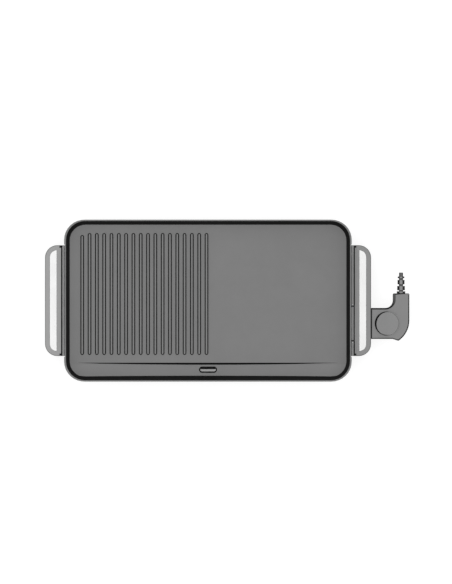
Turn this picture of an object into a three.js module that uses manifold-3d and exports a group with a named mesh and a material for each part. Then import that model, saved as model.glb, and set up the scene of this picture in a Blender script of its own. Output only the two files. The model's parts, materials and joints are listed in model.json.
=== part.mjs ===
// Electric table grill: a ribbed and smooth cooking plate on a moulded base, with a handle at each
// end, a pull-out drip tray and a plug-in heat control.
// Millimetres. +X points to the heat control, -Y to the drain side and +Z up. The origin lies on the
// table under the middle of the whole outline.

import * as THREE from 'three';
import { mergeVertices } from 'three/addons/utils/BufferGeometryUtils.js';
import Module from 'manifold-3d';

const wasm = await Module();
wasm.setup();

// Shared clearances and facet counts
const fitGap = 0.3;
const overrun = 2;
const cornerSteps = 8;
const smallCornerSteps = 4;
const roundSides = 16;
const largeRoundSides = 32;
const screwSides = 10;
const hexSides = 6;
const elementSides = 8;

// Cooking plate
const plateLength = 490;
const plateWidth = 277.5;
const plateCornerRadius = 35;
const lipWidth = 2.3;
const innerWallRun = 5.6;
const panDepth = 20;
const floorThickness = 5;
const outerWallRun = 5;
const skirtDepth = 6;
const skirtWall = 3;

// Ribs on the left half
const ribPitch = 12.53;
const ribCentreGap = 2.6;
const ribSideMargin = 20;
const ribBaseWidth = 6;
const ribCrestWidth = 3.3;
const ribHeight = 3;
const ribFrontMargin = 13.3;
const ribRearMargin = 15;
const outerRibShortening = 3.4;

// Gutter and drain along the front edge
const gutterSetback = 32.35;
const gutterEndMargin = 23;
const gutterDepth = 4.5;
const gutterEndDepth = 0.2;
const gutterFlankRun = 2.9;
const gutterSections = 12;
const keelDrop = 4.5;
const keelRearMargin = 3.4;
const drainLength = 31;
const drainWidth = 10.4;
const drainSetback = 20.6;
const drainLipWidth = 2.2;
const drainLipDrop = 2.5;
const drainLipEndInset = 1;
const drainMouthEndInset = 1.5;
const drainMouthWidth = 4.7;
const drainLedgeDrop = 0.8;
const spoutWall = 2;
const spoutDrop = 15;

// Heating element and the plug at its ends
const heaterRadius = 3.5;
const heaterChannelWall = 2.7;
const heaterChannelDepth = 7;
const heaterBend = 16;
const heaterBendSteps = 5;
const heaterRearInset = 73.75;
const heaterFrontInset = 63.75;
const heaterLeftInset = 80;
const heaterRightInset = 105;
const heaterFrontTurnInset = 70;
const connectorSetback = 99.6;
const pinSpacing = 28;
const pinRadius = 2.4;
const pinReach = 24;
const sealLength = 4;
const terminalBossLength = 36;
const terminalBossWidth = 48;
const terminalBossWall = 2;
const probeRadius = 3;
const probeBossWidth = 12;
const probeDepth = 73;
const guardLength = 20;
const guardWall = 0.8;
const guardSideClearance = 1.65;
const guardTopClearance = 0.95;

// Posts and screws that hold the plate on the base
const postSideInset = 55;
const postEndInset = 53.75;
const postRadius = 6;
const postHeight = 21;
const bossRadius = 5.5;
const plateScrewRadius = 2;
const plateScrewLength = 34;
const screwHeadHeight = 2.6;
const screwHeadExtra = 1.9;
const screwSocketDepth = 1.4;

// Base
const footHeight = 6;
const footRadius = 9;
const footEdge = 1.2;
const footNeckRadius = 4;
const footHeadRadius = 5.5;
const footHeadHeight = 2;
const footInset = 26;
const baseInset = 1.5;
const baseWall = 3;
const baseFloor = 2.5;
const baseToPlateGap = 2;
const endWallGap = 0.4;
const endWallThickness = 5;
const endWallDrop = 16;
const ventCount = 6;
const ventPitch = 13;
const ventWidth = 5;
const ventLength = 90;
const ventStartInset = 90;
const ventShift = 12;
const shieldThickness = 1;
const shieldLip = 8;
const shieldEdgeGap = 12;
const shieldSpoutGap = 4;
const shieldCornerRadius = 18;

// Drip tray under the drain
const trayLength = 150;
const trayDepth = 86;
const trayHeight = 18;
const trayWall = 2;
const traySideClearance = 0.8;
const trayCornerRadius = 6;
const runnerHeight = 1;
const runnerWidth = 6;
const guideHeight = 8;
const guideThickness = 2;
const trayFrontThickness = 5;
const trayFrontOverlap = 4;
const trayFrontCornerRadius = 4;
const trayPullRadius = 3.2;
const trayPullLength = 80;

// Handles
const handleEndInset = 43.75;
const handleReach = 28.6;
const handleCornerRadius = 21;
const handleTopDrop = 12;
const handleHeight = 24;
const handleWall = 2.6;
const handleSkin = 3;
const handleEdge = 1.2;
const inlayWidth = 11.2;
const inlayEndMargin = 8;
const inlayOuterMargin = 8.5;
const inlayCornerRadius = 13;
const inlayThickness = 1.2;
const inlayRecess = 0.2;
const coverThickness = 2.5;
const handleScrewInset = 15;
const handleScrewDrop = 14;
const handleScrewRadius = 2;
const handleScrewLength = 15;
const handleBossRadius = 4.2;
const handleBossLength = 12;

// Socket sleeve through the right end wall and handle
const socketWidth = 59.3;
const socketWall = 2.5;
const socketHeadroom = 1.1;
const socketMouthInset = 0.4;

// Heat control
const controllerWidth = 53.1;
const controllerHeight = 28;
const controllerWall = 2.2;
const controllerCeiling = 4.2;
const controllerEdge = 2;
const controllerGap = 0.3;
const armWidth = 28.1;
const armReach = 65.7;
const armRise = 25;
const armFillet = 12.9;
const armCornerRadius = 2;
const noseArcRadius = 42;
const noseArcRise = 31.7;
const tipDrop = 3.2;
const tipSlantRun = 10.1;
const neckSideClearance = 1.15;
const neckTopClearance = 0.4;
const neckLength = 15.6;
const blockReach = 14;
const blockLength = 26;
const contactWall = 1.3;
const contactLength = 22;
const contactBore = 18;
const contactTailRadius = 2;
const contactTailLength = 7;
const probeFlangeRadius = 5;
const probeFlangeThickness = 2.4;
const springWidth = 8;
const springThickness = 0.6;
const springLength = 22;
const springCrownLength = 7;

// Dial and spindle
const dialRadius = 20.5;
const dialHeight = 6;
const dialEdge = 0.8;
const dialOffset = 27;
const dialRecessDepth = 2;
const dialRecessGap = 0.7;
const spindleRadius = 3;
const spindleTipRadius = 1.5;
const spindleTipLength = 3;
const spindleFlat = 2.2;
const dialSocketDepth = 4;

// Thermostat
const frameWidth = 18;
const frameSheet = 1.5;
const frameLength = 35;
const frameHeight = 18.3;
const frameInset = 3.4;
const stackLength = 8;
const stackWidth = 12;
const stackHeight = 11;
const stackInset = 1.5;
const leafWidth = 7;
const leafSheet = 0.5;
const leafLength = 36;
const leafSpacing = 3.5;
const lowerLeafRise = 3.8;
const contactButtonRadius = 2;
const contactButtonInset = 4;

// Straps, terminal block and clamp in the arm
const strapSheet = 0.8;
const strapHeight = 4;
const strapBend = 6;
const strapBendSteps = 3;
const liveStrapInset = 18;
const neutralStrapInset = 11;
const strapEndDrop = 16;
const terminalBlockLength = 10;
const terminalBlockWidth = 15;
const terminalBlockDrop = 24.5;
const clampPostRadius = 2.6;
const clampPostSpacing = 13;
const clampSetback = 9.5;
const clampWidth = 5;
const clampHeight = 3;
const clampEndMargin = 2.4;
const cordRadius = 2.5;
const clampScrewRadius = 1.2;
const clampScrewLength = 9;
const clampScrewHeadHeight = 1.6;

// Housing screws
const housingBossRadius = 3.5;
const housingScrewRadius = 1.4;
const housingScrewLength = 15;
const housingScrewMargin = 0.9;
const housingArmScrewDrop = 34;

// Segmented bend relief
const reliefCoreRadius = 3.45;
const reliefFootRadius = 7.25;
const reliefFootTaper = 0.75;
const reliefFootLength = 3;
const reliefFirstRadius = 6.6;
const reliefFirstLength = 7;
const reliefSecondRadius = 6;
const reliefSecondLength = 6.4;
const reliefThirdRadius = 6;
const reliefThirdTaper = 0.8;
const reliefThirdLength = 3.2;
const reliefGapLengths = [3, 3.6, 2.2];
const reliefCollarLength = 7.8;
const reliefFlangeRadius = 7;
const reliefFlangeThickness = 3;
const reliefNeckRadius = 4.5;

// Heights, worked out from the table up
const baseBottomZ = footHeight;
const baseFloorZ = baseBottomZ + baseFloor;
const postTopZ = baseFloorZ + postHeight;
const shieldTopZ = postTopZ + shieldThickness;
const trayBottomZ = baseFloorZ + runnerHeight;
const trayTopZ = trayBottomZ + trayHeight;
const spoutBottomZ = Math.max(trayTopZ + trayFrontOverlap, shieldTopZ) + fitGap * 2 + screwHeadHeight;
const undersideZ = spoutBottomZ + spoutDrop;
const skirtBottomZ = undersideZ - skirtDepth;
const baseTopZ = skirtBottomZ - baseToPlateGap;
const floorZ = undersideZ + floorThickness;
const rimZ = floorZ + panDepth;
const endWallTopZ = rimZ - endWallDrop;
const handleTopZ = rimZ - handleTopDrop;
const handleBottomZ = handleTopZ - handleHeight;
const connectorZ = undersideZ - fitGap - heaterRadius;
const controllerTopZ = connectorZ + controllerHeight / 2;
const controllerBottomZ = connectorZ - controllerHeight / 2;
const dialFloorZ = controllerTopZ - dialRecessDepth;
const dialBottomZ = dialFloorZ + fitGap;
const dialTopZ = dialBottomZ + dialHeight;

// Places in plan, from the plate's centre
const plateHalfX = plateLength / 2;
const plateHalfY = plateWidth / 2;
const outerSlope = outerWallRun / (panDepth + floorThickness);
const innerSlope = innerWallRun / panDepth;
const gutterLineY = gutterSetback - plateHalfY;
const gutterHalfX = plateHalfX - gutterEndMargin;
const drainY = drainSetback - plateHalfY;
const connectorY = connectorSetback - plateHalfY;
const skirtHalfX = plateHalfX - outerSlope * (rimZ - skirtBottomZ);
const skirtHalfY = plateHalfY - outerSlope * (rimZ - skirtBottomZ);
const terminalFaceX = plateHalfX - endWallThickness / 2 - endWallGap;
const endWallInnerX = plateHalfX + endWallGap;
const endWallOuterX = endWallInnerX + endWallThickness;
const handleInnerX = endWallOuterX + fitGap;
const handleOuterX = handleInnerX + handleReach;
const handleHalfY = plateHalfY - handleEndInset;
const inlayHalfY = handleHalfY - inlayEndMargin;
const baseHalfX = skirtHalfX - baseInset;
const baseHalfY = skirtHalfY - baseInset;
const baseCornerRadius = plateCornerRadius - (plateHalfX - baseHalfX);
const postX = plateHalfX - postSideInset;
const postY = plateHalfY - postEndInset;
const footX = baseHalfX - footInset;
const footY = baseHalfY - footInset;
const handleScrewZ = handleTopZ - handleScrewDrop;
const handleScrewY = handleHalfY - handleScrewInset;
const socketTopZ = handleTopZ - handleSkin - socketHeadroom;
const socketHalfZ = socketTopZ - connectorZ;
const socketHalfY = socketWidth / 2;
const socketEndX = handleOuterX - socketMouthInset;
const socketInnerY = socketHalfY - socketWall;
const socketInnerZ = socketHalfZ - socketWall;
const neckHalfY = socketInnerY - neckSideClearance;
const neckHalfZ = socketInnerZ - neckTopClearance;
const blockHalfY = neckHalfY - controllerWall - fitGap;
const blockHalfZ = neckHalfZ - controllerWall - fitGap;
const bodyStartX = handleOuterX + controllerGap;
const neckStartX = bodyStartX - neckLength;
const blockStartX = neckStartX - blockReach;
const blockEndX = blockStartX + blockLength;
const armEndX = handleOuterX + armReach;
const armStartX = armEndX - armWidth;
const armMiddleX = armEndX - armWidth / 2;
const bodyHalfY = controllerWidth / 2;
const bodyTopY = connectorY + bodyHalfY;
const bodyBottomY = connectorY - bodyHalfY;
const armTopY = bodyTopY + armRise;
const dialX = handleOuterX + dialOffset;
const frameStartX = bodyStartX + frameInset;
const cavityFloorZ = controllerBottomZ + controllerWall;
const cavityCeilingZ = controllerTopZ - controllerCeiling;
const middleX = (armEndX - handleOuterX) / 2;

// Colours
const plateGrey = 0x7a7a7a;
const handleGrey = 0x969696;
const stripGrey = 0x828282;
const controlGrey = 0x8a8a8a;
const darkGrey = 0x3c3c3e;
const rubberBlack = 0x202022;
const steelGrey = 0xb9babc;
const paleSteel = 0xe6e6e4;
const brassYellow = 0xc9a24e;
const ceramicWhite = 0xe4dfd3;

// Turns a closed three.js geometry into a solid for joining and cutting
function solid(geometry) {
  const bare = geometry.clone();
  bare.deleteAttribute('normal');
  bare.deleteAttribute('uv');
  const merged = mergeVertices(bare);
  const corners = merged.index.array;
  const faces = [];
  for (let i = 0; i < corners.length; i += 3) {
    const [a, b, c] = [corners[i], corners[i + 1], corners[i + 2]];
    if (a !== b && b !== c && c !== a) {
      faces.push(a, b, c);
    }
  }
  const mesh = new wasm.Mesh({
    numProp: 3,
    vertProperties: new Float32Array(merged.attributes.position.array),
    triVerts: new Uint32Array(faces),
  });
  return new wasm.Manifold(mesh);
}

function joined(bodies) {
  return bodies.reduce((whole, body) => whole.add(body));
}

function cutAway(body, cutters) {
  return cutters.reduce((rest, cutter) => rest.subtract(cutter), body);
}

// Skins a row of equal loops of points. The flat outline gives the faces that close both ends.
function skin(loops, outline) {
  const count = outline.length;
  const flat = outline.map(([u, v]) => new THREE.Vector2(u, v));
  const faces = THREE.ShapeUtils.triangulateShape(flat, []).map(([a, b, c]) => {
    const turn = THREE.ShapeUtils.area([flat[a], flat[b], flat[c]]);
    return turn > 0 ? [a, b, c] : [a, c, b];
  });
  const index = [];
  const lastLoop = (loops.length - 1) * count;
  for (const [a, b, c] of faces) {
    index.push(c, b, a);
    index.push(lastLoop + a, lastLoop + b, lastLoop + c);
  }
  for (let loop = 0; loop < loops.length - 1; loop += 1) {
    for (let i = 0; i < count; i += 1) {
      const next = (i + 1) % count;
      const low = loop * count;
      const high = low + count;
      index.push(low + i, low + next, high + next);
      index.push(low + i, high + next, high + i);
    }
  }
  const geometry = new THREE.BufferGeometry();
  geometry.setAttribute('position', new THREE.Float32BufferAttribute(loops.flat(2), 3));
  geometry.setIndex(index);
  return solid(geometry);
}

// A body through outlines [x, y] at rising heights
function loft(levels) {
  const loops = levels.map(({ z, outline }) => outline.map(([x, y]) => [x, y, z]));
  return skin(loops, levels[0].outline);
}

// A body through outlines [y, z] at rising x
function loftAlongX(sections) {
  const loops = sections.map(({ x, outline }) => outline.map(([y, z]) => [x, y, z]));
  return skin(loops, sections[0].outline);
}

function slab(outline, bottomZ, topZ) {
  return loft([{ z: bottomZ, outline }, { z: topZ, outline }]);
}

function box(x0, x1, y0, y1, z0, z1) {
  const geometry = new THREE.BoxGeometry(x1 - x0, y1 - y0, z1 - z0);
  geometry.translate((x0 + x1) / 2, (y0 + y1) / 2, (z0 + z1) / 2);
  return solid(geometry);
}

// A box whose y range lies evenly about a line
function boxAbout(centreY, halfY, x0, x1, z0, z1) {
  return box(x0, x1, centreY - halfY, centreY + halfY, z0, z1);
}

function arcPoints(centreX, centreY, radius, startAngle, endAngle, steps) {
  const points = [];
  for (let i = 0; i <= steps; i += 1) {
    const angle = startAngle + (endAngle - startAngle) * (i / steps);
    points.push([centreX + radius * Math.cos(angle), centreY + radius * Math.sin(angle)]);
  }
  return points;
}

// Leaves out points that repeat the one before them
function withoutRepeats(points) {
  return points.filter(([x, y], i) => {
    const [lastX, lastY] = points[(i + points.length - 1) % points.length];
    return Math.hypot(x - lastX, y - lastY) > Number.EPSILON * plateLength;
  });
}

function roundedOutline(centreX, centreY, halfX, halfY, radius, steps) {
  const quarter = Math.PI / 2;
  const farX = halfX - radius;
  const farY = halfY - radius;
  return withoutRepeats([
    ...arcPoints(centreX + farX, centreY + farY, radius, 0, quarter, steps),
    ...arcPoints(centreX - farX, centreY + farY, radius, quarter, quarter * 2, steps),
    ...arcPoints(centreX - farX, centreY - farY, radius, quarter * 2, quarter * 3, steps),
    ...arcPoints(centreX + farX, centreY - farY, radius, quarter * 3, quarter * 4, steps),
  ]);
}

function pillAlongY(centreX, startY, endY, width) {
  const halfWidth = width / 2;
  const halfLength = (endY - startY) / 2;
  return roundedOutline(centreX, (startY + endY) / 2, halfWidth, halfLength, halfWidth, smallCornerSteps);
}

function pillAlongX(centreX, centreY, length, width) {
  const halfWidth = width / 2;
  return roundedOutline(centreX, centreY, length / 2, halfWidth, halfWidth, smallCornerSteps);
}

// A turned body about +Z: the profile lists [radius, height] from the axis and back to it
function turned(profile, sides = roundSides) {
  const points = profile.map(([radius, height]) => new THREE.Vector2(radius, height));
  const geometry = new THREE.LatheGeometry(points, sides);
  geometry.rotateX(Math.PI / 2);
  return geometry;
}

function turnedZ(x, y, profile, sides) {
  const geometry = turned(profile, sides);
  geometry.translate(x, y, 0);
  return solid(geometry);
}

// Turned about a line along +X or +Y: heights in the profile are places along that line
function turnedX(y, z, profile, sides) {
  const geometry = turned(profile, sides);
  geometry.rotateY(Math.PI / 2);
  geometry.translate(0, y, z);
  return solid(geometry);
}

function turnedY(x, z, profile, sides) {
  const geometry = turned(profile, sides);
  geometry.rotateX(-Math.PI / 2);
  geometry.translate(x, 0, z);
  return solid(geometry);
}

function rodProfile(radius, start, end) {
  return [[0, start], [radius, start], [radius, end], [0, end]];
}

function rodZ(x, y, radius, bottomZ, topZ, sides) {
  return turnedZ(x, y, rodProfile(radius, bottomZ, topZ), sides);
}

function rodX(y, z, radius, startX, endX, sides) {
  return turnedX(y, z, rodProfile(radius, startX, endX), sides);
}

function rodY(x, z, radius, startY, endY, sides) {
  return turnedY(x, z, rodProfile(radius, startY, endY), sides);
}

// Rounds the inner corners of a route of [x, y] points
function roundedRoute(corners, bend, steps) {
  const route = [corners[0]];
  for (let i = 1; i < corners.length - 1; i += 1) {
    const corner = new THREE.Vector2(...corners[i]);
    const before = new THREE.Vector2(...corners[i - 1]).sub(corner);
    const after = new THREE.Vector2(...corners[i + 1]).sub(corner);
    const trim = Math.min(bend, before.length() / 2, after.length() / 2);
    const start = corner.clone().add(before.setLength(trim));
    const end = corner.clone().add(after.setLength(trim));
    const curve = new THREE.QuadraticBezierCurve(start, corner, end);
    route.push(...curve.getPoints(steps).map((point) => [point.x, point.y]));
  }
  route.push(corners[corners.length - 1]);
  return withoutRepeats(route);
}

// The unit vector to the left of a route at one of its points
function leftOf(route, i) {
  const [x0, y0] = route[Math.max(i - 1, 0)];
  const [x1, y1] = route[Math.min(i + 1, route.length - 1)];
  const length = Math.hypot(x1 - x0, y1 - y0);
  return [(y0 - y1) / length, (x1 - x0) / length];
}

// The outline of a band of even width along a route
function bandOutline(route, halfWidth) {
  const side = (sign) => route.map(([x, y], i) => {
    const [leftX, leftY] = leftOf(route, i);
    return [x + sign * halfWidth * leftX, y + sign * halfWidth * leftY];
  });
  return [...side(-1), ...side(1).reverse()];
}

// A round bar along a level route
function barAlong(route, z, radius, sides) {
  const circle = arcPoints(0, 0, radius, 0, Math.PI * 2, sides).slice(0, sides);
  const loops = route.map(([x, y], i) => {
    const [leftX, leftY] = leftOf(route, i);
    return circle.map(([u, v]) => [x + u * leftX, y + u * leftY, z + v]);
  });
  return skin(loops, circle);
}

// Mirrors a finished body to the other end of the grill
function mirroredInX(body) {
  const geometry = geometryOf(body);
  const position = geometry.attributes.position;
  for (let i = 0; i < position.count; i += 1) {
    position.setX(i, -position.getX(i));
  }
  const index = geometry.index.array;
  for (let i = 0; i < index.length; i += 3) {
    [index[i], index[i + 1]] = [index[i + 1], index[i]];
  }
  return solid(geometry);
}

function geometryOf(body) {
  const mesh = body.getMesh();
  const geometry = new THREE.BufferGeometry();
  geometry.setAttribute('position', new THREE.BufferAttribute(mesh.vertProperties, 3));
  geometry.setIndex(new THREE.BufferAttribute(mesh.triVerts, 1));
  return geometry;
}

// Insets of the plate's outer and inner walls at a height
function outerInset(z) {
  return outerSlope * (rimZ - z);
}

function innerInset(z) {
  return lipWidth + innerSlope * (rimZ - z);
}

function plateLevel(z, inset) {
  const halfX = plateHalfX - inset;
  const halfY = plateHalfY - inset;
  return { z, outline: roundedOutline(0, 0, halfX, halfY, plateCornerRadius - inset, cornerSteps) };
}

// The gutter's bed sags in a curve from the ends to the drain
function gutterCutter() {
  const sections = [];
  for (let i = 0; i <= gutterSections; i += 1) {
    const along = (2 * i) / gutterSections - 1;
    const depth = gutterEndDepth + (gutterDepth - gutterEndDepth) * (1 - along * along);
    const footY = gutterLineY - gutterFlankRun * (depth / gutterDepth);
    const outline = [
      [-plateHalfY, floorZ - depth],
      [footY, floorZ - depth],
      [gutterLineY, floorZ],
      [gutterLineY, floorZ + overrun],
      [-plateHalfY, floorZ + overrun],
    ];
    sections.push({ x: along * gutterHalfX, outline });
  }
  return loftAlongX(sections);
}

function panCutter() {
  const deepZ = undersideZ;
  const highZ = rimZ + overrun;
  const inside = loft([deepZ, floorZ, highZ].map((z) => plateLevel(z, innerInset(z))));
  const aboveFloor = box(-plateHalfX, plateHalfX, -plateHalfY, plateHalfY, floorZ, highZ + overrun);
  return aboveFloor.add(gutterCutter()).intersect(inside);
}

function ribs() {
  const floorHalfX = plateHalfX - innerInset(floorZ);
  const count = 1 + Math.floor((floorHalfX - ribSideMargin - ribCentreGap) / ribPitch);
  const frontY = gutterLineY + ribFrontMargin;
  const rearY = plateHalfY - innerInset(floorZ) - ribRearMargin;
  const crestInset = (ribBaseWidth - ribCrestWidth) / 2;
  const bodies = [];
  for (let i = 0; i < count; i += 1) {
    const x = -ribCentreGap - i * ribPitch;
    const endY = i === count - 1 ? rearY - outerRibShortening : rearY;
    const base = pillAlongY(x, frontY, endY, ribBaseWidth);
    const crest = pillAlongY(x, frontY + crestInset, endY - crestInset, ribCrestWidth);
    bodies.push(loft([
      { z: floorZ - floorThickness / 2, outline: base },
      { z: floorZ, outline: base },
      { z: floorZ + ribHeight, outline: crest },
    ]));
  }
  return joined(bodies);
}

// The route of the heating element, from its rear end at the plug to its front end
function heaterRoute() {
  const endX = terminalFaceX - sealLength - fitGap;
  const rearPinY = connectorY + pinSpacing / 2;
  const frontPinY = connectorY - pinSpacing / 2;
  const rearY = plateHalfY - heaterRearInset;
  const frontY = heaterFrontInset - plateHalfY;
  const leftX = heaterLeftInset - plateHalfX;
  const rightX = plateHalfX - heaterRightInset;
  const turnX = plateHalfX - heaterFrontTurnInset;
  return roundedRoute([
    [endX, rearPinY],
    [rightX, rearPinY],
    [rightX, rearY],
    [leftX, rearY],
    [leftX, frontY],
    [turnX, frontY],
    [turnX, frontPinY],
    [endX, frontPinY],
  ], heaterBend, heaterBendSteps);
}

function pinPlaces() {
  return [connectorY - pinSpacing / 2, connectorY + pinSpacing / 2];
}

function postPlaces() {
  return [[-postX, -postY], [postX, -postY], [-postX, postY], [postX, postY]];
}

// Bosses under the plate: for the screws, the plug and the probe
function plateBosses() {
  const intoFloorZ = undersideZ + floorThickness / 2;
  const bossBottomZ = connectorZ - heaterRadius - fitGap - terminalBossWall;
  const halfWidth = terminalBossWidth / 2;
  const probeHalf = probeBossWidth / 2;
  const terminalStartX = terminalFaceX - terminalBossLength;
  const probeStartX = terminalFaceX - probeDepth - probeBossWidth / 2;
  const posts = postPlaces().map(([x, y]) => rodZ(x, y, bossRadius, shieldTopZ, intoFloorZ));
  return joined([
    ...posts,
    boxAbout(connectorY, halfWidth, terminalStartX, terminalFaceX, bossBottomZ, intoFloorZ),
    boxAbout(connectorY, probeHalf, probeStartX, terminalFaceX, bossBottomZ, intoFloorZ),
  ]);
}

function plateBores() {
  const boreTopZ = undersideZ - overrun;
  const boreRadius = plateScrewRadius + fitGap;
  const probeStartX = terminalFaceX - probeDepth - fitGap;
  const screws = postPlaces().map(([x, y]) => rodZ(x, y, boreRadius, shieldTopZ - overrun, boreTopZ));
  const element = pinPlaces().map((y) => rodX(
    y,
    connectorZ,
    heaterRadius + fitGap,
    terminalFaceX - terminalBossLength - overrun,
    terminalFaceX + overrun,
  ));
  const probe = rodX(connectorY, connectorZ, probeRadius + fitGap, probeStartX, terminalFaceX + overrun);
  return [...screws, ...element, probe];
}

function spout() {
  const outline = pillAlongX(0, drainY, drainLength + 2 * spoutWall, drainWidth + 2 * spoutWall);
  return slab(outline, spoutBottomZ, undersideZ + floorThickness / 2);
}

// The drain's lip falls steeply to a ledge, which leads to a mouth along the drain's rear side
function drainLevel(z, width, inset) {
  const y = drainY + (drainWidth - width) / 2;
  return { z, outline: pillAlongX(0, y, drainLength - 2 * inset, width) };
}

function drainCutter() {
  const bedZ = floorZ - gutterDepth;
  const lipFootZ = bedZ - drainLipDrop;
  return loft([
    drainLevel(spoutBottomZ - overrun, drainMouthWidth, drainMouthEndInset),
    drainLevel(lipFootZ - drainLedgeDrop, drainMouthWidth, drainMouthEndInset),
    drainLevel(lipFootZ, drainWidth - drainLipWidth, drainLipEndInset),
    drainLevel(bedZ, drainWidth, 0),
    drainLevel(floorZ + overrun, drainWidth, 0),
  ]);
}

function cookingPlate() {
  const outside = loft([skirtBottomZ, rimZ].map((z) => plateLevel(z, outerInset(z))));
  const hollowZ = [skirtBottomZ - overrun, undersideZ];
  const hollow = loft(hollowZ.map((z) => plateLevel(z, outerInset(z) + skirtWall)));
  const route = heaterRoute();
  const channelHalf = heaterRadius + fitGap + heaterChannelWall;
  const channelZ = undersideZ - heaterChannelDepth;
  const channel = slab(bandOutline(route, channelHalf), channelZ, undersideZ + floorThickness / 2);
  const groove = slab(bandOutline(route, heaterRadius + fitGap), channelZ - overrun, undersideZ);
  const keelX = plateHalfX - plateCornerRadius;
  const keelY = gutterLineY + keelRearMargin;
  const keelZ = undersideZ - keelDrop;
  const keel = box(-keelX, keelX, -plateHalfY, keelY, keelZ, undersideZ + overrun).intersect(outside);
  const shell = outside.subtract(hollow);
  const whole = joined([shell, channel, keel, plateBosses(), spout()]);
  const hollowed = cutAway(whole, [groove, ...plateBores(), panCutter()]);
  return hollowed.add(ribs()).subtract(drainCutter());
}

function heatingElement() {
  return barAlong(heaterRoute(), connectorZ, heaterRadius, elementSides);
}

function terminalSeal(y) {
  const start = terminalFaceX - sealLength;
  const bore = pinRadius + fitGap;
  return turnedX(y, connectorZ, [
    [bore, start],
    [heaterRadius, start],
    [heaterRadius, terminalFaceX],
    [bore, terminalFaceX],
    [bore, start],
  ]);
}

function terminalPin(y) {
  const start = terminalFaceX - sealLength;
  const end = terminalFaceX + pinReach;
  const tip = end - pinRadius;
  return turnedX(y, connectorZ, [
    [0, start],
    [pinRadius, start],
    [pinRadius, tip],
    [pinRadius / 2, end],
    [0, end],
  ]);
}

function earthGuard() {
  const halfY = socketInnerY - guardSideClearance;
  const halfZ = socketInnerZ - guardTopClearance;
  const start = terminalFaceX + fitGap;
  const end = start + guardLength;
  const inY = halfY - guardWall;
  const inZ = halfZ - guardWall;
  const outside = boxAbout(connectorY, halfY, start, end, connectorZ - halfZ, connectorZ + halfZ);
  const inside = box(
    start + guardWall,
    end + overrun,
    connectorY - inY,
    connectorY + inY,
    connectorZ - inZ,
    connectorZ + inZ,
  );
  const holes = [connectorY, ...pinPlaces()].map((y) => rodX(
    y,
    connectorZ,
    heaterRadius + fitGap,
    start - overrun,
    start + overrun,
  ));
  return cutAway(outside, [inside, ...holes]);
}

function postBores() {
  const headRadius = plateScrewRadius + screwHeadExtra + fitGap;
  const seatZ = baseBottomZ + screwHeadHeight + fitGap;
  return postPlaces().flatMap(([x, y]) => [
    rodZ(x, y, plateScrewRadius + fitGap, baseBottomZ - overrun, postTopZ + overrun),
    rodZ(x, y, headRadius, baseBottomZ - overrun, seatZ),
  ]);
}

function footPlaces() {
  return [[-footX, -footY], [footX, -footY], [-footX, footY], [footX, footY]];
}

function vents() {
  const cutters = [];
  for (const side of [-1, 1]) {
    for (let i = 0; i < ventCount; i += 1) {
      const x = side * (ventStartInset + i * ventPitch);
      cutters.push(box(
        x - ventWidth / 2,
        x + ventWidth / 2,
        ventShift - ventLength / 2,
        ventShift + ventLength / 2,
        baseBottomZ - overrun,
        baseFloorZ + overrun,
      ));
    }
  }
  return cutters;
}

function trayFrontY() {
  return -baseHalfY - fitGap;
}

function trayRearY() {
  return trayFrontY() + trayDepth;
}

// Guides and runners for the drip tray, standing on the base's floor
function trayGuides() {
  const sideX = trayLength / 2 + traySideClearance;
  const frontY = -baseHalfY + baseWall / 2;
  const rearY = trayRearY();
  const bodies = [];
  for (const side of [-1, 1]) {
    const guideX = side * (sideX + guideThickness / 2);
    const runnerX = side * (trayLength / 2 - runnerWidth);
    const guideZ = baseFloorZ + guideHeight;
    const intoFloorZ = baseFloorZ - baseFloor / 2;
    const halfGuide = guideThickness / 2;
    const halfRunner = runnerWidth / 2;
    bodies.push(box(guideX - halfGuide, guideX + halfGuide, frontY, rearY, intoFloorZ, guideZ));
    bodies.push(box(runnerX - halfRunner, runnerX + halfRunner, frontY, rearY, intoFloorZ, trayBottomZ));
  }
  return bodies;
}

function baseFrame() {
  const radius = baseCornerRadius;
  const outline = roundedOutline(0, 0, baseHalfX, baseHalfY, radius, cornerSteps);
  const inX = baseHalfX - baseWall;
  const inY = baseHalfY - baseWall;
  const inner = roundedOutline(0, 0, inX, inY, radius - baseWall, cornerSteps);
  const endInY = handleHalfY - baseWall;
  const outside = joined([
    slab(outline, baseBottomZ, baseTopZ),
    box(-endWallOuterX, endWallOuterX, -handleHalfY, handleHalfY, baseBottomZ, baseTopZ),
    box(-endWallOuterX, -endWallInnerX, -handleHalfY, handleHalfY, baseBottomZ, endWallTopZ),
    box(endWallInnerX, endWallOuterX, -handleHalfY, handleHalfY, baseBottomZ, endWallTopZ),
  ]);
  const hollow = joined([
    slab(inner, baseFloorZ, baseTopZ + overrun),
    box(-endWallInnerX, endWallInnerX, -endInY, endInY, baseFloorZ, baseTopZ + overrun),
  ]);
  const posts = postPlaces().map(([x, y]) => rodZ(x, y, postRadius, baseFloorZ - baseFloor / 2, postTopZ));
  const frame = joined([outside.subtract(hollow), ...posts, ...trayGuides()]);
  const openX = trayLength / 2 + traySideClearance;
  const openTopZ = trayTopZ + fitGap * 2;
  const trayOpening = box(-openX, openX, -baseHalfY - overrun, -inY + overrun, trayBottomZ, openTopZ);
  const notchY = socketHalfY + fitGap;
  const notch = box(
    endWallInnerX - overrun,
    endWallOuterX + overrun,
    connectorY - notchY,
    connectorY + notchY,
    connectorZ - socketHalfZ,
    endWallTopZ + overrun,
  );
  const feet = footPlaces().map(([x, y]) => rodZ(
    x,
    y,
    footNeckRadius + fitGap,
    baseBottomZ - overrun,
    baseFloorZ + overrun,
  ));
  const handleHoles = [-handleScrewY, handleScrewY].map((y) => rodX(
    y,
    handleScrewZ,
    handleScrewRadius + fitGap,
    -endWallOuterX - overrun,
    endWallOuterX + overrun,
  ));
  return cutAway(frame, [...postBores(), ...vents(), trayOpening, notch, ...feet, ...handleHoles]);
}

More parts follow.
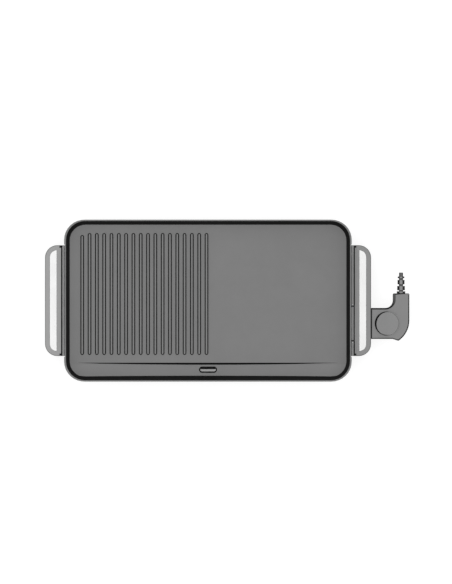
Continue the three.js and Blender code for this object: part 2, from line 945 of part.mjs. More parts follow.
function heatShield() {
  const halfX = baseHalfX - shieldEdgeGap;
  const rearY = baseHalfY - shieldEdgeGap;
  const frontY = drainY + drainWidth / 2 + spoutWall + shieldSpoutGap;
  const centreY = (frontY + rearY) / 2;
  const halfY = (rearY - frontY) / 2;
  const radius = shieldCornerRadius;
  const steps = smallCornerSteps;
  const inset = shieldThickness;
  const outer = roundedOutline(0, centreY, halfX, halfY, radius, steps);
  const inner = roundedOutline(0, centreY, halfX - inset, halfY - inset, radius - inset, steps);
  const lipTopZ = postTopZ + shieldLip;
  const holes = postPlaces().map(([x, y]) => rodZ(
    x,
    y,
    plateScrewRadius + fitGap,
    postTopZ - overrun,
    shieldTopZ + overrun,
  ));
  return cutAway(slab(outer, postTopZ, lipTopZ), [slab(inner, shieldTopZ, lipTopZ + overrun), ...holes]);
}

function dripTray() {
  const frontY = trayFrontY();
  const rearY = trayRearY();
  const halfX = trayLength / 2;
  const centreY = (frontY + rearY) / 2;
  const halfY = (rearY - frontY) / 2;
  const radius = trayCornerRadius;
  const steps = smallCornerSteps;
  const outer = roundedOutline(0, centreY, halfX, halfY, radius, steps);
  const inner = roundedOutline(0, centreY, halfX - trayWall, halfY - trayWall, radius - trayWall, steps);
  const floorTopZ = trayBottomZ + trayWall;
  const panelHalfX = halfX + trayFrontOverlap;
  const panelBottomZ = baseBottomZ + fitGap;
  const panelTopZ = trayTopZ + trayFrontOverlap;
  const panelY = frontY - trayFrontThickness;
  const halfPanelZ = (panelTopZ - panelBottomZ) / 2;
  const panelOutline = roundedOutline(
    0,
    (panelBottomZ + panelTopZ) / 2,
    panelHalfX,
    halfPanelZ,
    trayFrontCornerRadius,
    steps,
  );
  const panelLoops = [frontY, panelY].map((y) => panelOutline.map(([x, z]) => [x, y, z]));
  const panel = skin(panelLoops, panelOutline);
  const linkX = halfX - radius;
  const link = boxAbout(frontY, trayWall / 2, -linkX, linkX, trayBottomZ, trayTopZ);
  const pullZ = panelBottomZ + halfPanelZ;
  const pull = rodX(panelY, pullZ, trayPullRadius, -trayPullLength / 2, trayPullLength / 2);
  const basin = slab(outer, trayBottomZ, trayTopZ).subtract(slab(inner, floorTopZ, trayTopZ + overrun));
  return joined([basin, panel, link]).subtract(pull);
}

function foot([x, y]) {
  return turnedZ(x, y, [
    [0, 0],
    [footRadius - footEdge, 0],
    [footRadius, footEdge],
    [footRadius, footHeight],
    [footNeckRadius, footHeight],
    [footNeckRadius, baseFloorZ],
    [footHeadRadius, baseFloorZ],
    [footHeadRadius, baseFloorZ + footHeadHeight],
    [0, baseFloorZ + footHeadHeight],
  ]);
}

// A socket-head screw along +Z with its head's seat at height zero
function screwGeometry(radius, length, headHeight) {
  const headRadius = radius + screwHeadExtra * (radius / plateScrewRadius);
  const shape = solid(turned([
    [0, -headHeight],
    [headRadius, -headHeight],
    [headRadius, 0],
    [radius, 0],
    [radius, length],
    [0, length],
  ], screwSides));
  const socketTop = screwSocketDepth * (headHeight / screwHeadHeight) - headHeight;
  const socket = solid(turned(rodProfile(radius, -headHeight - overrun, socketTop), hexSides));
  return geometryOf(shape.subtract(socket));
}

// The D-shaped outline of a grip: straight towards the plate, rounded at its outer corners
function gripOutline(innerX, outerX, halfY, radius) {
  const centreX = outerX - radius;
  const sharpest = Math.acos(Math.min(1, Math.max(0, (innerX - centreX) / radius)));
  const arc = arcPoints(centreX, halfY - radius, radius, 0, sharpest, cornerSteps);
  const lowerArc = arc.map(([x, y]) => [x, -y]).reverse();
  const points = [...lowerArc, ...arc];
  if (innerX < centreX) {
    points.push([innerX, halfY]);
    points.push([innerX, -halfY]);
  }
  return withoutRepeats(points);
}

function handleLevel(z, inset) {
  const innerX = handleInnerX + inset;
  const outerX = handleOuterX - inset;
  return { z, outline: gripOutline(innerX, outerX, handleHalfY - inset, handleCornerRadius - inset) };
}

function inlayOutline(inset) {
  const outerX = handleOuterX - inlayOuterMargin - inset;
  const innerX = handleOuterX - inlayOuterMargin - inlayWidth + inset;
  return gripOutline(innerX, outerX, inlayHalfY - inset, inlayCornerRadius - inset);
}

function handleShell() {
  const outside = loft([
    handleLevel(handleBottomZ, 0),
    handleLevel(handleTopZ - handleEdge, 0),
    handleLevel(handleTopZ, handleEdge),
  ]);
  const hollow = loft([
    handleLevel(handleBottomZ - overrun, handleWall),
    handleLevel(handleTopZ - handleSkin, handleWall),
  ]);
  const bossStart = handleInnerX + handleWall / 2;
  const bosses = [-handleScrewY, handleScrewY].map((y) => rodX(
    y,
    handleScrewZ,
    handleBossRadius,
    bossStart,
    handleInnerX + handleBossLength,
  ));
  const bores = [-handleScrewY, handleScrewY].map((y) => rodX(
    y,
    handleScrewZ,
    handleScrewRadius + fitGap,
    handleInnerX - overrun,
    handleInnerX + handleBossLength - handleWall / 2,
  ));
  const recess = slab(inlayOutline(0), handleTopZ - inlayThickness - inlayRecess, handleTopZ + overrun);
  return cutAway(joined([outside.subtract(hollow), ...bosses]), [...bores, recess]);
}

function handleInlay() {
  const topZ = handleTopZ - inlayRecess;
  return slab(inlayOutline(fitGap), topZ - inlayThickness, topZ);
}

// The cover closes the grip's underside between two places along it
function handleCover(startY, endY) {
  const whole = loft([
    handleLevel(handleBottomZ, handleWall + fitGap),
    handleLevel(handleBottomZ + coverThickness, handleWall + fitGap),
  ]);
  return whole.intersect(box(
    handleInnerX,
    handleOuterX,
    startY,
    endY,
    handleBottomZ - overrun,
    handleBottomZ + coverThickness + overrun,
  ));
}

function rightHandle() {
  const halfY = socketHalfY + fitGap;
  const window = box(
    handleInnerX - overrun,
    handleOuterX + overrun,
    connectorY - halfY,
    connectorY + halfY,
    handleBottomZ - overrun,
    socketTopZ + fitGap,
  );
  return handleShell().subtract(window);
}

function socketFrame() {
  const bottomZ = connectorZ - socketHalfZ;
  const sleeve = box(
    endWallInnerX,
    socketEndX,
    connectorY - socketHalfY,
    connectorY + socketHalfY,
    bottomZ,
    socketTopZ,
  );
  const head = box(
    endWallInnerX,
    endWallOuterX,
    connectorY - socketHalfY,
    connectorY + socketHalfY,
    bottomZ,
    endWallTopZ,
  );
  const bore = box(
    endWallInnerX - overrun,
    socketEndX + overrun,
    connectorY - socketInnerY,
    connectorY + socketInnerY,
    connectorZ - socketInnerZ,
    connectorZ + socketInnerZ,
  );
  return sleeve.add(head).subtract(bore);
}

// Plan outline of the heat control's body and arm, drawn in by an inset
function controllerOutline(inset) {
  const quarter = Math.PI / 2;
  const arcX = armEndX - noseArcRadius;
  const arcY = bodyBottomY + noseArcRise;
  const arcRadius = noseArcRadius - inset;
  const tipY = bodyBottomY - tipDrop + inset;
  const tipAngle = Math.asin((tipY - arcY) / arcRadius);
  const tipX = arcX + arcRadius * Math.cos(tipAngle);
  const cornerRadius = armCornerRadius;
  const rightX = armEndX - inset - cornerRadius;
  const topY = armTopY - inset - cornerRadius;
  const leftX = armStartX + inset + cornerRadius;
  const fillet = armFillet + inset;
  const filletX = armStartX - armFillet;
  const filletY = bodyTopY + armFillet;
  return [
    [bodyStartX + inset, bodyBottomY + inset],
    [tipX - tipSlantRun, bodyBottomY + inset],
    ...arcPoints(arcX, arcY, arcRadius, tipAngle, 0, cornerSteps),
    ...arcPoints(rightX, topY, cornerRadius, 0, quarter, smallCornerSteps),
    ...arcPoints(leftX, topY, cornerRadius, quarter, quarter * 2, smallCornerSteps),
    ...arcPoints(filletX, filletY, fillet, 0, -quarter, cornerSteps),
    [bodyStartX + inset, bodyTopY - inset],
  ];
}

function neckBody(bottomZ, topZ) {
  return box(
    neckStartX,
    bodyStartX + controllerEdge * 2,
    connectorY - neckHalfY,
    connectorY + neckHalfY,
    bottomZ,
    topZ,
  );
}

function neckHollow(bottomZ, topZ) {
  const halfY = neckHalfY - controllerWall;
  return box(
    neckStartX - overrun,
    bodyStartX + controllerEdge * 3,
    connectorY - halfY,
    connectorY + halfY,
    bottomZ,
    topZ,
  );
}

function housingScrewPlaces() {
  const fromWall = controllerWall + housingBossRadius + housingScrewMargin;
  return [
    [bodyStartX + fromWall, bodyTopY - fromWall],
    [bodyStartX + fromWall, bodyBottomY + fromWall],
    [armEndX - controllerWall / 2 - housingBossRadius, armTopY - housingArmScrewDrop],
  ];
}

function housingBosses(bottomZ, topZ) {
  return housingScrewPlaces().map(([x, y]) => rodZ(x, y, housingBossRadius, bottomZ, topZ));
}

function clampPlaces() {
  const halfSpacing = clampPostSpacing / 2;
  return [-1, 1].map((side) => [armMiddleX + side * halfSpacing, armTopY - clampSetback]);
}

function reliefHole() {
  const radius = reliefNeckRadius + fitGap;
  return rodY(armMiddleX, connectorZ, radius, armTopY - controllerWall - overrun, armTopY + overrun);
}

function lowerShell() {
  const outside = loft([
    { z: controllerBottomZ, outline: controllerOutline(controllerEdge) },
    { z: controllerBottomZ + controllerEdge, outline: controllerOutline(0) },
    { z: connectorZ, outline: controllerOutline(0) },
  ]);
  const neck = neckBody(connectorZ - neckHalfZ, connectorZ);
  const topZ = connectorZ + overrun;
  const hollow = slab(controllerOutline(controllerWall), cavityFloorZ, topZ);
  const neckSpace = neckHollow(connectorZ - neckHalfZ + controllerWall, topZ);
  const intoFloorZ = cavityFloorZ - controllerWall / 2;
  const bosses = housingBosses(intoFloorZ, connectorZ);
  const clampTopZ = connectorZ + cordRadius + fitGap;
  const posts = clampPlaces().map(([x, y]) => rodZ(x, y, clampPostRadius, intoFloorZ, clampTopZ));
  const headRadius = (plateScrewRadius + screwHeadExtra) * (housingScrewRadius / plateScrewRadius) + fitGap;
  const screwCuts = housingScrewPlaces().flatMap(([x, y]) => [
    rodZ(x, y, housingScrewRadius + fitGap, controllerBottomZ - overrun, connectorZ + overrun),
    rodZ(x, y, headRadius, controllerBottomZ - overrun, housingSeatZ()),
  ]);
  const clampCuts = clampPlaces().map(([x, y]) => rodZ(
    x,
    y,
    clampScrewRadius + fitGap,
    clampTopZ - clampScrewLength,
    clampTopZ + overrun,
  ));
  const shell = joined([cutAway(outside.add(neck), [hollow, neckSpace]), ...bosses, ...posts]);
  return cutAway(shell, [...screwCuts, ...clampCuts, reliefHole()]);
}

function housingSeatZ() {
  return controllerBottomZ + screwHeadHeight + fitGap;
}

function upperShell() {
  const outside = loft([
    { z: connectorZ, outline: controllerOutline(0) },
    { z: controllerTopZ - controllerEdge, outline: controllerOutline(0) },
    { z: controllerTopZ, outline: controllerOutline(controllerEdge) },
  ]);
  const neck = neckBody(connectorZ, connectorZ + neckHalfZ);
  const bottomZ = connectorZ - overrun;
  const hollow = slab(controllerOutline(controllerWall), bottomZ, cavityCeilingZ);
  const neckSpace = neckHollow(bottomZ, connectorZ + neckHalfZ - controllerWall);
  const intoCeilingZ = cavityCeilingZ + controllerCeiling / 2;
  const bosses = housingBosses(connectorZ, intoCeilingZ);
  const screwBores = housingScrewPlaces().map(([x, y]) => rodZ(
    x,
    y,
    housingScrewRadius + fitGap,
    bottomZ,
    housingSeatZ() + housingScrewLength + fitGap,
  ));
  const recess = rodZ(
    dialX,
    connectorY,
    dialRadius + dialRecessGap,
    dialFloorZ,
    controllerTopZ + overrun,
    largeRoundSides,
  );
  const spindleHole = rodZ(dialX, connectorY, spindleRadius + fitGap, bottomZ, controllerTopZ);
  const shell = joined([cutAway(outside.add(neck), [hollow, neckSpace]), ...bosses]);
  return cutAway(shell, [...screwBores, recess, spindleHole, reliefHole()]);
}

function contactBlock() {
  const body = box(
    blockStartX,
    blockEndX,
    connectorY - blockHalfY,
    connectorY + blockHalfY,
    connectorZ - blockHalfZ,
    connectorZ + blockHalfZ,
  );
  const boreRadius = pinRadius + fitGap + contactWall + fitGap;
  const bores = pinPlaces().map((y) => rodX(
    y,
    connectorZ,
    boreRadius,
    blockStartX - overrun,
    blockEndX + overrun,
  ));
  const probeHole = rodX(
    connectorY,
    connectorZ,
    probeRadius + fitGap,
    blockStartX - overrun,
    blockEndX + overrun,
  );
  const grooveHalf = springWidth / 2 + fitGap;
  const groove = box(
    blockStartX - overrun,
    blockEndX + overrun,
    connectorY - grooveHalf,
    connectorY + grooveHalf,
    connectorZ - blockHalfZ - overrun,
    connectorZ - blockHalfZ + springThickness + fitGap * 2,
  );
  return cutAway(body, [...bores, probeHole, groove]);
}

function contactSleeve(y) {
  const start = blockStartX + overrun;
  const end = start + contactLength;
  const bore = pinRadius + fitGap;
  return turnedX(y, connectorZ, [
    [0, start + contactBore],
    [bore, start + contactBore],
    [bore, start],
    [bore + contactWall, start],
    [bore + contactWall, end],
    [contactTailRadius, end],
    [contactTailRadius, end + contactTailLength],
    [0, end + contactTailLength],
  ]);
}

function probeRod() {
  const start = terminalFaceX - probeDepth;
  const flangeEnd = frameStartX - fitGap;
  const flangeStart = flangeEnd - probeFlangeThickness;
  return turnedX(connectorY, connectorZ, [
    [0, start],
    [probeRadius / 2, start],
    [probeRadius, start + probeRadius / 2],
    [probeRadius, flangeStart],
    [probeFlangeRadius, flangeStart],
    [probeFlangeRadius, flangeEnd],
    [0, flangeEnd],
  ]);
}

function earthSpring() {
  const start = blockStartX + overrun;
  const halfY = springWidth / 2;
  const bottomZ = connectorZ - blockHalfZ + fitGap;
  const guardInnerZ = connectorZ - (socketInnerZ - guardTopClearance - guardWall);
  const strip = box(
    start,
    start + springLength,
    connectorY - halfY,
    connectorY + halfY,
    bottomZ,
    bottomZ + springThickness,
  );
  const crown = box(
    start,
    start + springCrownLength,
    connectorY - halfY,
    connectorY + halfY,
    guardInnerZ + fitGap,
    bottomZ + springThickness / 2,
  );
  return strip.add(crown);
}

function frameFloorZ() {
  return cavityFloorZ + fitGap;
}

function thermostatFrame() {
  const bottomZ = frameFloorZ();
  const topZ = bottomZ + frameHeight;
  const halfY = frameWidth / 2;
  const endX = frameStartX + frameLength;
  const whole = box(frameStartX, endX, connectorY - halfY, connectorY + halfY, bottomZ, topZ);
  const inside = box(
    frameStartX + frameSheet,
    endX + overrun,
    connectorY - halfY - overrun,
    connectorY + halfY + overrun,
    bottomZ + frameSheet,
    topZ - frameSheet,
  );
  const spindleHole = rodZ(dialX, connectorY, spindleRadius + fitGap, topZ - overrun, topZ + overrun);
  return cutAway(whole, [inside, spindleHole]);
}

function stackStartX() {
  return frameStartX + frameSheet + stackInset;
}

function leafZ(level) {
  return frameFloorZ() + frameSheet + lowerLeafRise + level * leafSpacing;
}

function leafInsulator() {
  const startX = stackStartX();
  const bottomZ = frameFloorZ() + frameSheet;
  const halfY = stackWidth / 2;
  const body = box(
    startX,
    startX + stackLength,
    connectorY - halfY,
    connectorY + halfY,
    bottomZ,
    bottomZ + stackHeight,
  );
  const slotHalf = leafWidth / 2 + fitGap;
  const slots = [0, 1].map((level) => box(
    startX - overrun,
    startX + stackLength + overrun,
    connectorY - slotHalf,
    connectorY + slotHalf,
    leafZ(level) - fitGap,
    leafZ(level) + leafSheet + fitGap,
  ));
  return cutAway(body, slots);
}

// A contact leaf with its button towards the other leaf
function contactLeaf(level) {
  const startX = stackStartX() - stackInset / 2;
  const endX = startX + leafLength;
  const z = leafZ(level);
  const halfY = leafWidth / 2;
  const gap = leafSpacing - leafSheet;
  const buttonHeight = (gap - fitGap) / 2;
  const buttonX = endX - contactButtonInset;
  const sheet = box(startX, endX, connectorY - halfY, connectorY + halfY, z, z + leafSheet);
  const bottomZ = level === 0 ? z + leafSheet / 2 : z - buttonHeight;
  const topZ = level === 0 ? z + leafSheet + buttonHeight : z + leafSheet / 2;
  return sheet.add(rodZ(buttonX, connectorY, contactButtonRadius, bottomZ, topZ));
}

function flatCutter(gap, bottomZ, topZ) {
  const side = spindleRadius + gap + overrun;
  return box(dialX + spindleFlat + gap, dialX + side, connectorY - side, connectorY + side, bottomZ, topZ);
}

function adjustingSpindle() {
  const tipZ = leafZ(1) + leafSheet + fitGap;
  const topZ = dialBottomZ + dialSocketDepth - fitGap;
  const body = turnedZ(dialX, connectorY, [
    [0, tipZ],
    [spindleTipRadius, tipZ],
    [spindleTipRadius, tipZ + spindleTipLength],
    [spindleRadius, tipZ + spindleTipLength],
    [spindleRadius, topZ],
    [0, topZ],
  ]);
  return body.subtract(flatCutter(0, dialBottomZ, topZ + overrun));
}

function temperatureDial() {
  const disc = turnedZ(dialX, connectorY, [
    [0, dialBottomZ],
    [dialRadius, dialBottomZ],
    [dialRadius, dialTopZ - dialEdge],
    [dialRadius - dialEdge, dialTopZ],
    [0, dialTopZ],
  ], largeRoundSides);
  const socketTopZ = dialBottomZ + dialSocketDepth;
  const bore = rodZ(dialX, connectorY, spindleRadius + fitGap, dialBottomZ - overrun, socketTopZ);
  return disc.subtract(bore.subtract(flatCutter(fitGap, dialBottomZ - overrun * 2, socketTopZ + overrun)));
}

function strapStartX() {
  return blockStartX + overrun + contactLength + contactTailLength + fitGap;
}

// A brass strap from a contact sleeve to the terminal block in the arm
function strap(startY, armInset) {
  const riseX = armEndX - armInset;
  const route = roundedRoute([
    [strapStartX(), startY],
    [riseX, startY],
    [riseX, armTopY - strapEndDrop],
  ], strapBend, strapBendSteps);
  const bottomZ = connectorZ - strapHeight / 2;
  return slab(bandOutline(route, strapSheet / 2), bottomZ, bottomZ + strapHeight);
}

function cordTerminalBlock() {
  const startY = armTopY - terminalBlockDrop;
  const middleX = armEndX - (liveStrapInset + neutralStrapInset) / 2;
  const halfX = terminalBlockWidth / 2;
  const topZ = connectorZ - strapHeight / 2 - fitGap;
  const bottomZ = cavityFloorZ + fitGap;
  return box(middleX - halfX, middleX + halfX, startY, startY + terminalBlockLength, bottomZ, topZ);
}

function cordClamp() {
  const y = armTopY - clampSetback;
  const bottomZ = connectorZ + cordRadius + fitGap;
  const halfX = clampPostSpacing / 2 + clampEndMargin;
  const halfY = clampWidth / 2;
  const bar = boxAbout(y, halfY, armMiddleX - halfX, armMiddleX + halfX, bottomZ, bottomZ + clampHeight);
  const holes = clampPlaces().map(([x, placeY]) => rodZ(
    x,
    placeY,
    clampScrewRadius + fitGap,
    bottomZ - overrun,
    bottomZ + clampHeight + overrun,
  ));
  return cutAway(bar, holes);
}

function bendRelief() {
  const footY = armTopY + fitGap;
  const flangeY = armTopY - controllerWall - fitGap;
  const bore = cordRadius + fitGap / 2;
  const profile = [
    [bore, flangeY - reliefFlangeThickness],
    [reliefFlangeRadius, flangeY - reliefFlangeThickness],
    [reliefFlangeRadius, flangeY],
    [reliefNeckRadius, flangeY],
    [reliefNeckRadius, footY],
  ];
  let y = footY;
  const addSegment = (radius, taper, length, gapLength) => {
    profile.push([radius, y]);
    profile.push([radius - taper, y + length]);
    profile.push([reliefCoreRadius, y + length]);
    y += length + gapLength;
    profile.push([reliefCoreRadius, y]);
  };
  addSegment(reliefFootRadius, reliefFootTaper, reliefFootLength, reliefGapLengths[0]);
  addSegment(reliefFirstRadius, 0, reliefFirstLength, reliefGapLengths[1]);
  addSegment(reliefSecondRadius, 0, reliefSecondLength, reliefGapLengths[2]);
  addSegment(reliefThirdRadius, reliefThirdTaper, reliefThirdLength, reliefCollarLength);
  profile.push([bore, y]);
  profile.push(profile[0]);
  return turnedY(armMiddleX, connectorZ, profile);
}

// The whole grill
const grill = new THREE.Group();
const parts = new THREE.Group();
parts.position.x = -middleX;
grill.add(parts);

function finish(colour, roughness, metalness) {
  return new THREE.MeshStandardMaterial({ color: colour, roughness, metalness, flatShading: true });
}

function addPart(name, body, colour, roughness, metalness) {
  const mesh = new THREE.Mesh(geometryOf(body), finish(colour, roughness, metalness));
  mesh.name = name;
  parts.add(mesh);
  return mesh;
}

// A screw's size is its radius, its length and its head's height
function addScrew(name, [x, y, z], turn, size) {
  const geometry = screwGeometry(...size);
  const mesh = new THREE.Mesh(geometry, finish(steelGrey, 0.35, 1));
  mesh.name = name;
  mesh.position.set(x, y, z);
  mesh.rotation.set(...turn);
  parts.add(mesh);
}

const [frontPinY, rearPinY] = pinPlaces();
addPart('cooking_plate', cookingPlate(), plateGrey, 0.55, 0.2);
addPart('heating_element', heatingElement(), steelGrey, 0.45, 1);
addPart('terminal_seal_front', terminalSeal(frontPinY), ceramicWhite, 0.6, 0);
addPart('terminal_seal_rear', terminalSeal(rearPinY), ceramicWhite, 0.6, 0);
addPart('terminal_pin_front', terminalPin(frontPinY), steelGrey, 0.3, 1);
addPart('terminal_pin_rear', terminalPin(rearPinY), steelGrey, 0.3, 1);
addPart('earth_guard', earthGuard(), steelGrey, 0.35, 1);
addPart('base_frame', baseFrame(), stripGrey, 0.5, 0);
addPart('heat_shield', heatShield(), steelGrey, 0.4, 1);
addPart('drip_tray', dripTray(), stripGrey, 0.5, 0);

const cornerNames = ['front_left', 'front_right', 'rear_left', 'rear_right'];
cornerNames.forEach((corner, i) => {
  addPart(`foot_${corner}`, foot(footPlaces()[i]), rubberBlack, 0.9, 0);
  const place = [...postPlaces()[i], baseBottomZ + screwHeadHeight + fitGap];
  addScrew(`plate_screw_${corner}`, place, [0, 0, 0], [plateScrewRadius, plateScrewLength, screwHeadHeight]);
});

const leftHandle = mirroredInX(handleShell());
const coverEndY = handleHalfY;
const coverGapY = socketHalfY + fitGap;
addPart('handle_left', leftHandle, handleGrey, 0.5, 0);
addPart('handle_right', rightHandle(), handleGrey, 0.5, 0);
addPart('handle_inlay_left', mirroredInX(handleInlay()), paleSteel, 0.3, 1);
addPart('handle_inlay_right', handleInlay(), paleSteel, 0.3, 1);
addPart('handle_cover_left', mirroredInX(handleCover(-coverEndY, coverEndY)), darkGrey, 0.6, 0);
addPart('handle_cover_right_rear', handleCover(connectorY + coverGapY, coverEndY), darkGrey, 0.6, 0);
addPart('handle_cover_right_front', handleCover(-coverEndY, connectorY - coverGapY), darkGrey, 0.6, 0);
for (const [side, sign] of [['left', -1], ['right', 1]]) {
  for (const [end, y] of [['front', -handleScrewY], ['rear', handleScrewY]]) {
    const place = [sign * endWallInnerX, y, handleScrewZ];
    const turn = [0, (sign * Math.PI) / 2, 0];
    const size = [handleScrewRadius, handleScrewLength, screwHeadHeight];
    addScrew(`handle_screw_${side}_${end}`, place, turn, size);
  }
}

addPart('socket_frame', socketFrame(), stripGrey, 0.5, 0);
addPart('controller_lower_shell', lowerShell(), controlGrey, 0.5, 0);
addPart('controller_upper_shell', upperShell(), controlGrey, 0.5, 0);
addPart('contact_block', contactBlock(), darkGrey, 0.6, 0);
addPart('contact_sleeve_front', contactSleeve(frontPinY), brassYellow, 0.35, 1);
addPart('contact_sleeve_rear', contactSleeve(rearPinY), brassYellow, 0.35, 1);
addPart('probe_rod', probeRod(), steelGrey, 0.3, 1);
addPart('earth_spring', earthSpring(), brassYellow, 0.35, 1);
addPart('thermostat_frame', thermostatFrame(), steelGrey, 0.4, 1);
addPart('leaf_insulator', leafInsulator(), ceramicWhite, 0.6, 0);
addPart('lower_leaf', contactLeaf(0), brassYellow, 0.35, 1);
addPart('upper_leaf', contactLeaf(1), brassYellow, 0.35, 1);
addPart('adjusting_spindle', adjustingSpindle(), steelGrey, 0.3, 1);
addPart('temperature_dial', temperatureDial(), controlGrey, 0.45, 0);
addPart('live_strap', strap(rearPinY, liveStrapInset), brassYellow, 0.35, 1);
addPart('neutral_strap', strap(frontPinY, neutralStrapInset), brassYellow, 0.35, 1);
addPart('cord_terminal_block', cordTerminalBlock(), darkGrey, 0.6, 0);
addPart('cord_clamp', cordClamp(), darkGrey, 0.6, 0);
addPart('cord_bend_relief', bendRelief(), rubberBlack, 0.8, 0);

const clampTopZ = connectorZ + cordRadius + fitGap + clampHeight;
clampPlaces().forEach(([x, y], i) => {
  const name = `cord_clamp_screw_${i + 1}`;
  const size = [clampScrewRadius, clampScrewLength, clampScrewHeadHeight];
  addScrew(name, [x, y, clampTopZ], [Math.PI, 0, 0], size);
});
housingScrewPlaces().forEach(([x, y], i) => {
  const name = `housing_screw_${i + 1}`;
  const size = [housingScrewRadius, housingScrewLength, screwHeadHeight];
  addScrew(name, [x, y, housingSeatZ()], [0, 0, 0], size);
});

export default grill;
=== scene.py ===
import json
import math

import bmesh
import bpy
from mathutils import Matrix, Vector


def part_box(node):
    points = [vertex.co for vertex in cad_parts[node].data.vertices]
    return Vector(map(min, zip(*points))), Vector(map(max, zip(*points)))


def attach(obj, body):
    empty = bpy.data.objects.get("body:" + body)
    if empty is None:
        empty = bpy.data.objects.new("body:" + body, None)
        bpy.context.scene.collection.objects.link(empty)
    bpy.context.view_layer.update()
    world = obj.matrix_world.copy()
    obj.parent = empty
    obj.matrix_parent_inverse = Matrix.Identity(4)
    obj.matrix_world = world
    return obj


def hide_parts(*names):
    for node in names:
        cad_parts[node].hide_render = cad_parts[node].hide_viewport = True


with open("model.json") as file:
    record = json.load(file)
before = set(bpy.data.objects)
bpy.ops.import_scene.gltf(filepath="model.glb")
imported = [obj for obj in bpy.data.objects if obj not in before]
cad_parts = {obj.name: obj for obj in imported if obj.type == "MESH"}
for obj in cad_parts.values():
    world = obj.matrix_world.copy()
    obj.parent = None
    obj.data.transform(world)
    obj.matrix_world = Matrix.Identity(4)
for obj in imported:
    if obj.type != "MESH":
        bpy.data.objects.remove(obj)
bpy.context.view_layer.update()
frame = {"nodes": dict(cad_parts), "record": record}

MM = 0.001
NODES = frame["nodes"]
SLOTS = {part["node"]: part["material_slot"] for part in frame["record"]["subparts"]}
BODY_OF = {member: body
           for body, members in frame["record"]["behaviour"]["bodies"].items()
           for member in members}

# Places taken from the frame
PLATE_LOW, PLATE_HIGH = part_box("cooking_plate")
PLATE_X = (PLATE_LOW.x + PLATE_HIGH.x) / 2
PLATE_HALF_X = (PLATE_HIGH.x - PLATE_LOW.x) / 2
PLATE_HALF_Y = (PLATE_HIGH.y - PLATE_LOW.y) / 2
PLATE_DEPTH = 20 * MM
RIM_Z = PLATE_HIGH.z
FLOOR_Z = RIM_Z - PLATE_DEPTH
STRIP_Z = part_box("base_frame")[1].z
SOCKET_LOW, SOCKET_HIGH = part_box("socket_frame")
SHELL_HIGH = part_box("controller_upper_shell")[1]
DIAL_LOW, DIAL_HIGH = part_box("temperature_dial")
DIAL_X = (DIAL_LOW.x + DIAL_HIGH.x) / 2
DIAL_Y = (DIAL_LOW.y + DIAL_HIGH.y) / 2
DIAL_RADIUS = (DIAL_HIGH.x - DIAL_LOW.x) / 2
RELIEF_LOW, RELIEF_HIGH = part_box("cord_bend_relief")
RELIEF_X = (RELIEF_LOW.x + RELIEF_HIGH.x) / 2
RELIEF_Z = (RELIEF_LOW.z + RELIEF_HIGH.z) / 2

# How far from a level a place may be and still count as on it
ON_FLOOR = 0.05 * MM
ON_TOP = 0.1 * MM


# Selecting and editing

SHARP = math.radians(30)
SMOOTH_DEGREES = 32
MERGE_REACH = 0.012 * MM
SLIVER = 0.01 * MM
FLAT_WITHIN = math.radians(0.4)
FLAT_FACE_WEIGHT = 80
CUTTER_RISE = 1 * MM


def pick(piece):
    """Makes the piece active and the only one selected."""
    bpy.ops.object.select_all(action="DESELECT")
    bpy.context.view_layer.objects.active = piece
    piece.select_set(True)


def start_editing(piece, kind="FACE"):
    """Opens the piece in edit mode with nothing selected."""
    pick(piece)
    bpy.ops.object.mode_set(mode="EDIT")
    bpy.ops.mesh.select_mode(type=kind)
    bpy.ops.mesh.select_all(action="DESELECT")


def stop_editing():
    bpy.ops.object.mode_set(mode="OBJECT")


def choose_faces(piece, wanted):
    """Selects the faces whose middle and normal are wanted."""
    mesh = bmesh.from_edit_mesh(piece.data)
    for face in mesh.faces:
        face.select_set(wanted(face.calc_center_median(), face.normal))
    bmesh.update_edit_mesh(piece.data)


def round_edges(piece, width, segments, wanted=lambda middle, one, other: True):
    """Rounds the sharp outer edges whose middle and two face normals are wanted."""
    start_editing(piece, "EDGE")
    mesh = bmesh.from_edit_mesh(piece.data)
    for edge in mesh.edges:
        chosen = False
        if len(edge.link_faces) == 2 and edge.calc_face_angle(0) > SHARP and edge.is_convex:
            one, other = edge.link_faces
            middle = (edge.verts[0].co + edge.verts[1].co) / 2
            chosen = wanted(middle, one.normal, other.normal)
        edge.select_set(chosen)
    bmesh.update_edit_mesh(piece.data)
    bpy.ops.mesh.bevel(offset=width, segments=segments, affect="EDGES", clamp_overlap=True)
    stop_editing()


def apply_modifier(piece, kind, **settings):
    """Adds a modifier with its settings and applies it."""
    pick(piece)
    modifier = piece.modifiers.new(kind.lower(), kind)
    for key, value in settings.items():
        setattr(modifier, key, value)
    bpy.ops.object.modifier_apply(modifier=modifier.name)


def place_in_mesh(piece):
    """Puts the piece's place and size into its mesh, so its object sits at the origin."""
    pick(piece)
    bpy.ops.object.transform_apply(location=True, rotation=True, scale=True)


def smooth(piece, degrees):
    """Smooths the shading and marks the edges that stay sharp."""
    pick(piece)
    bpy.ops.object.shade_smooth_by_angle(angle=math.radians(degrees))
    start_editing(piece, "EDGE")
    mesh = bmesh.from_edit_mesh(piece.data)
    for edge in mesh.edges:
        folded = edge.calc_face_angle(0) > math.radians(degrees)
        edge.select_set(len(edge.link_faces) != 2 or folded)
    bmesh.update_edit_mesh(piece.data)
    bpy.ops.mesh.mark_sharp()
    stop_editing()


def dress(piece, material, degrees):
    """Shades the piece, with its large flat faces kept even, and gives it its finish."""
    smooth(piece, degrees)
    apply_modifier(piece, "WEIGHTED_NORMAL", weight=FLAT_FACE_WEIGHT, keep_sharp=True)
    piece.data.materials.clear()
    piece.data.materials.append(material)


def finish_piece(piece, node, material, degrees=SMOOTH_DEGREES):
    """Dresses the piece and puts it in the node's place."""
    dress(piece, material, degrees)
    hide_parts(node)
    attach(piece, BODY_OF[node])


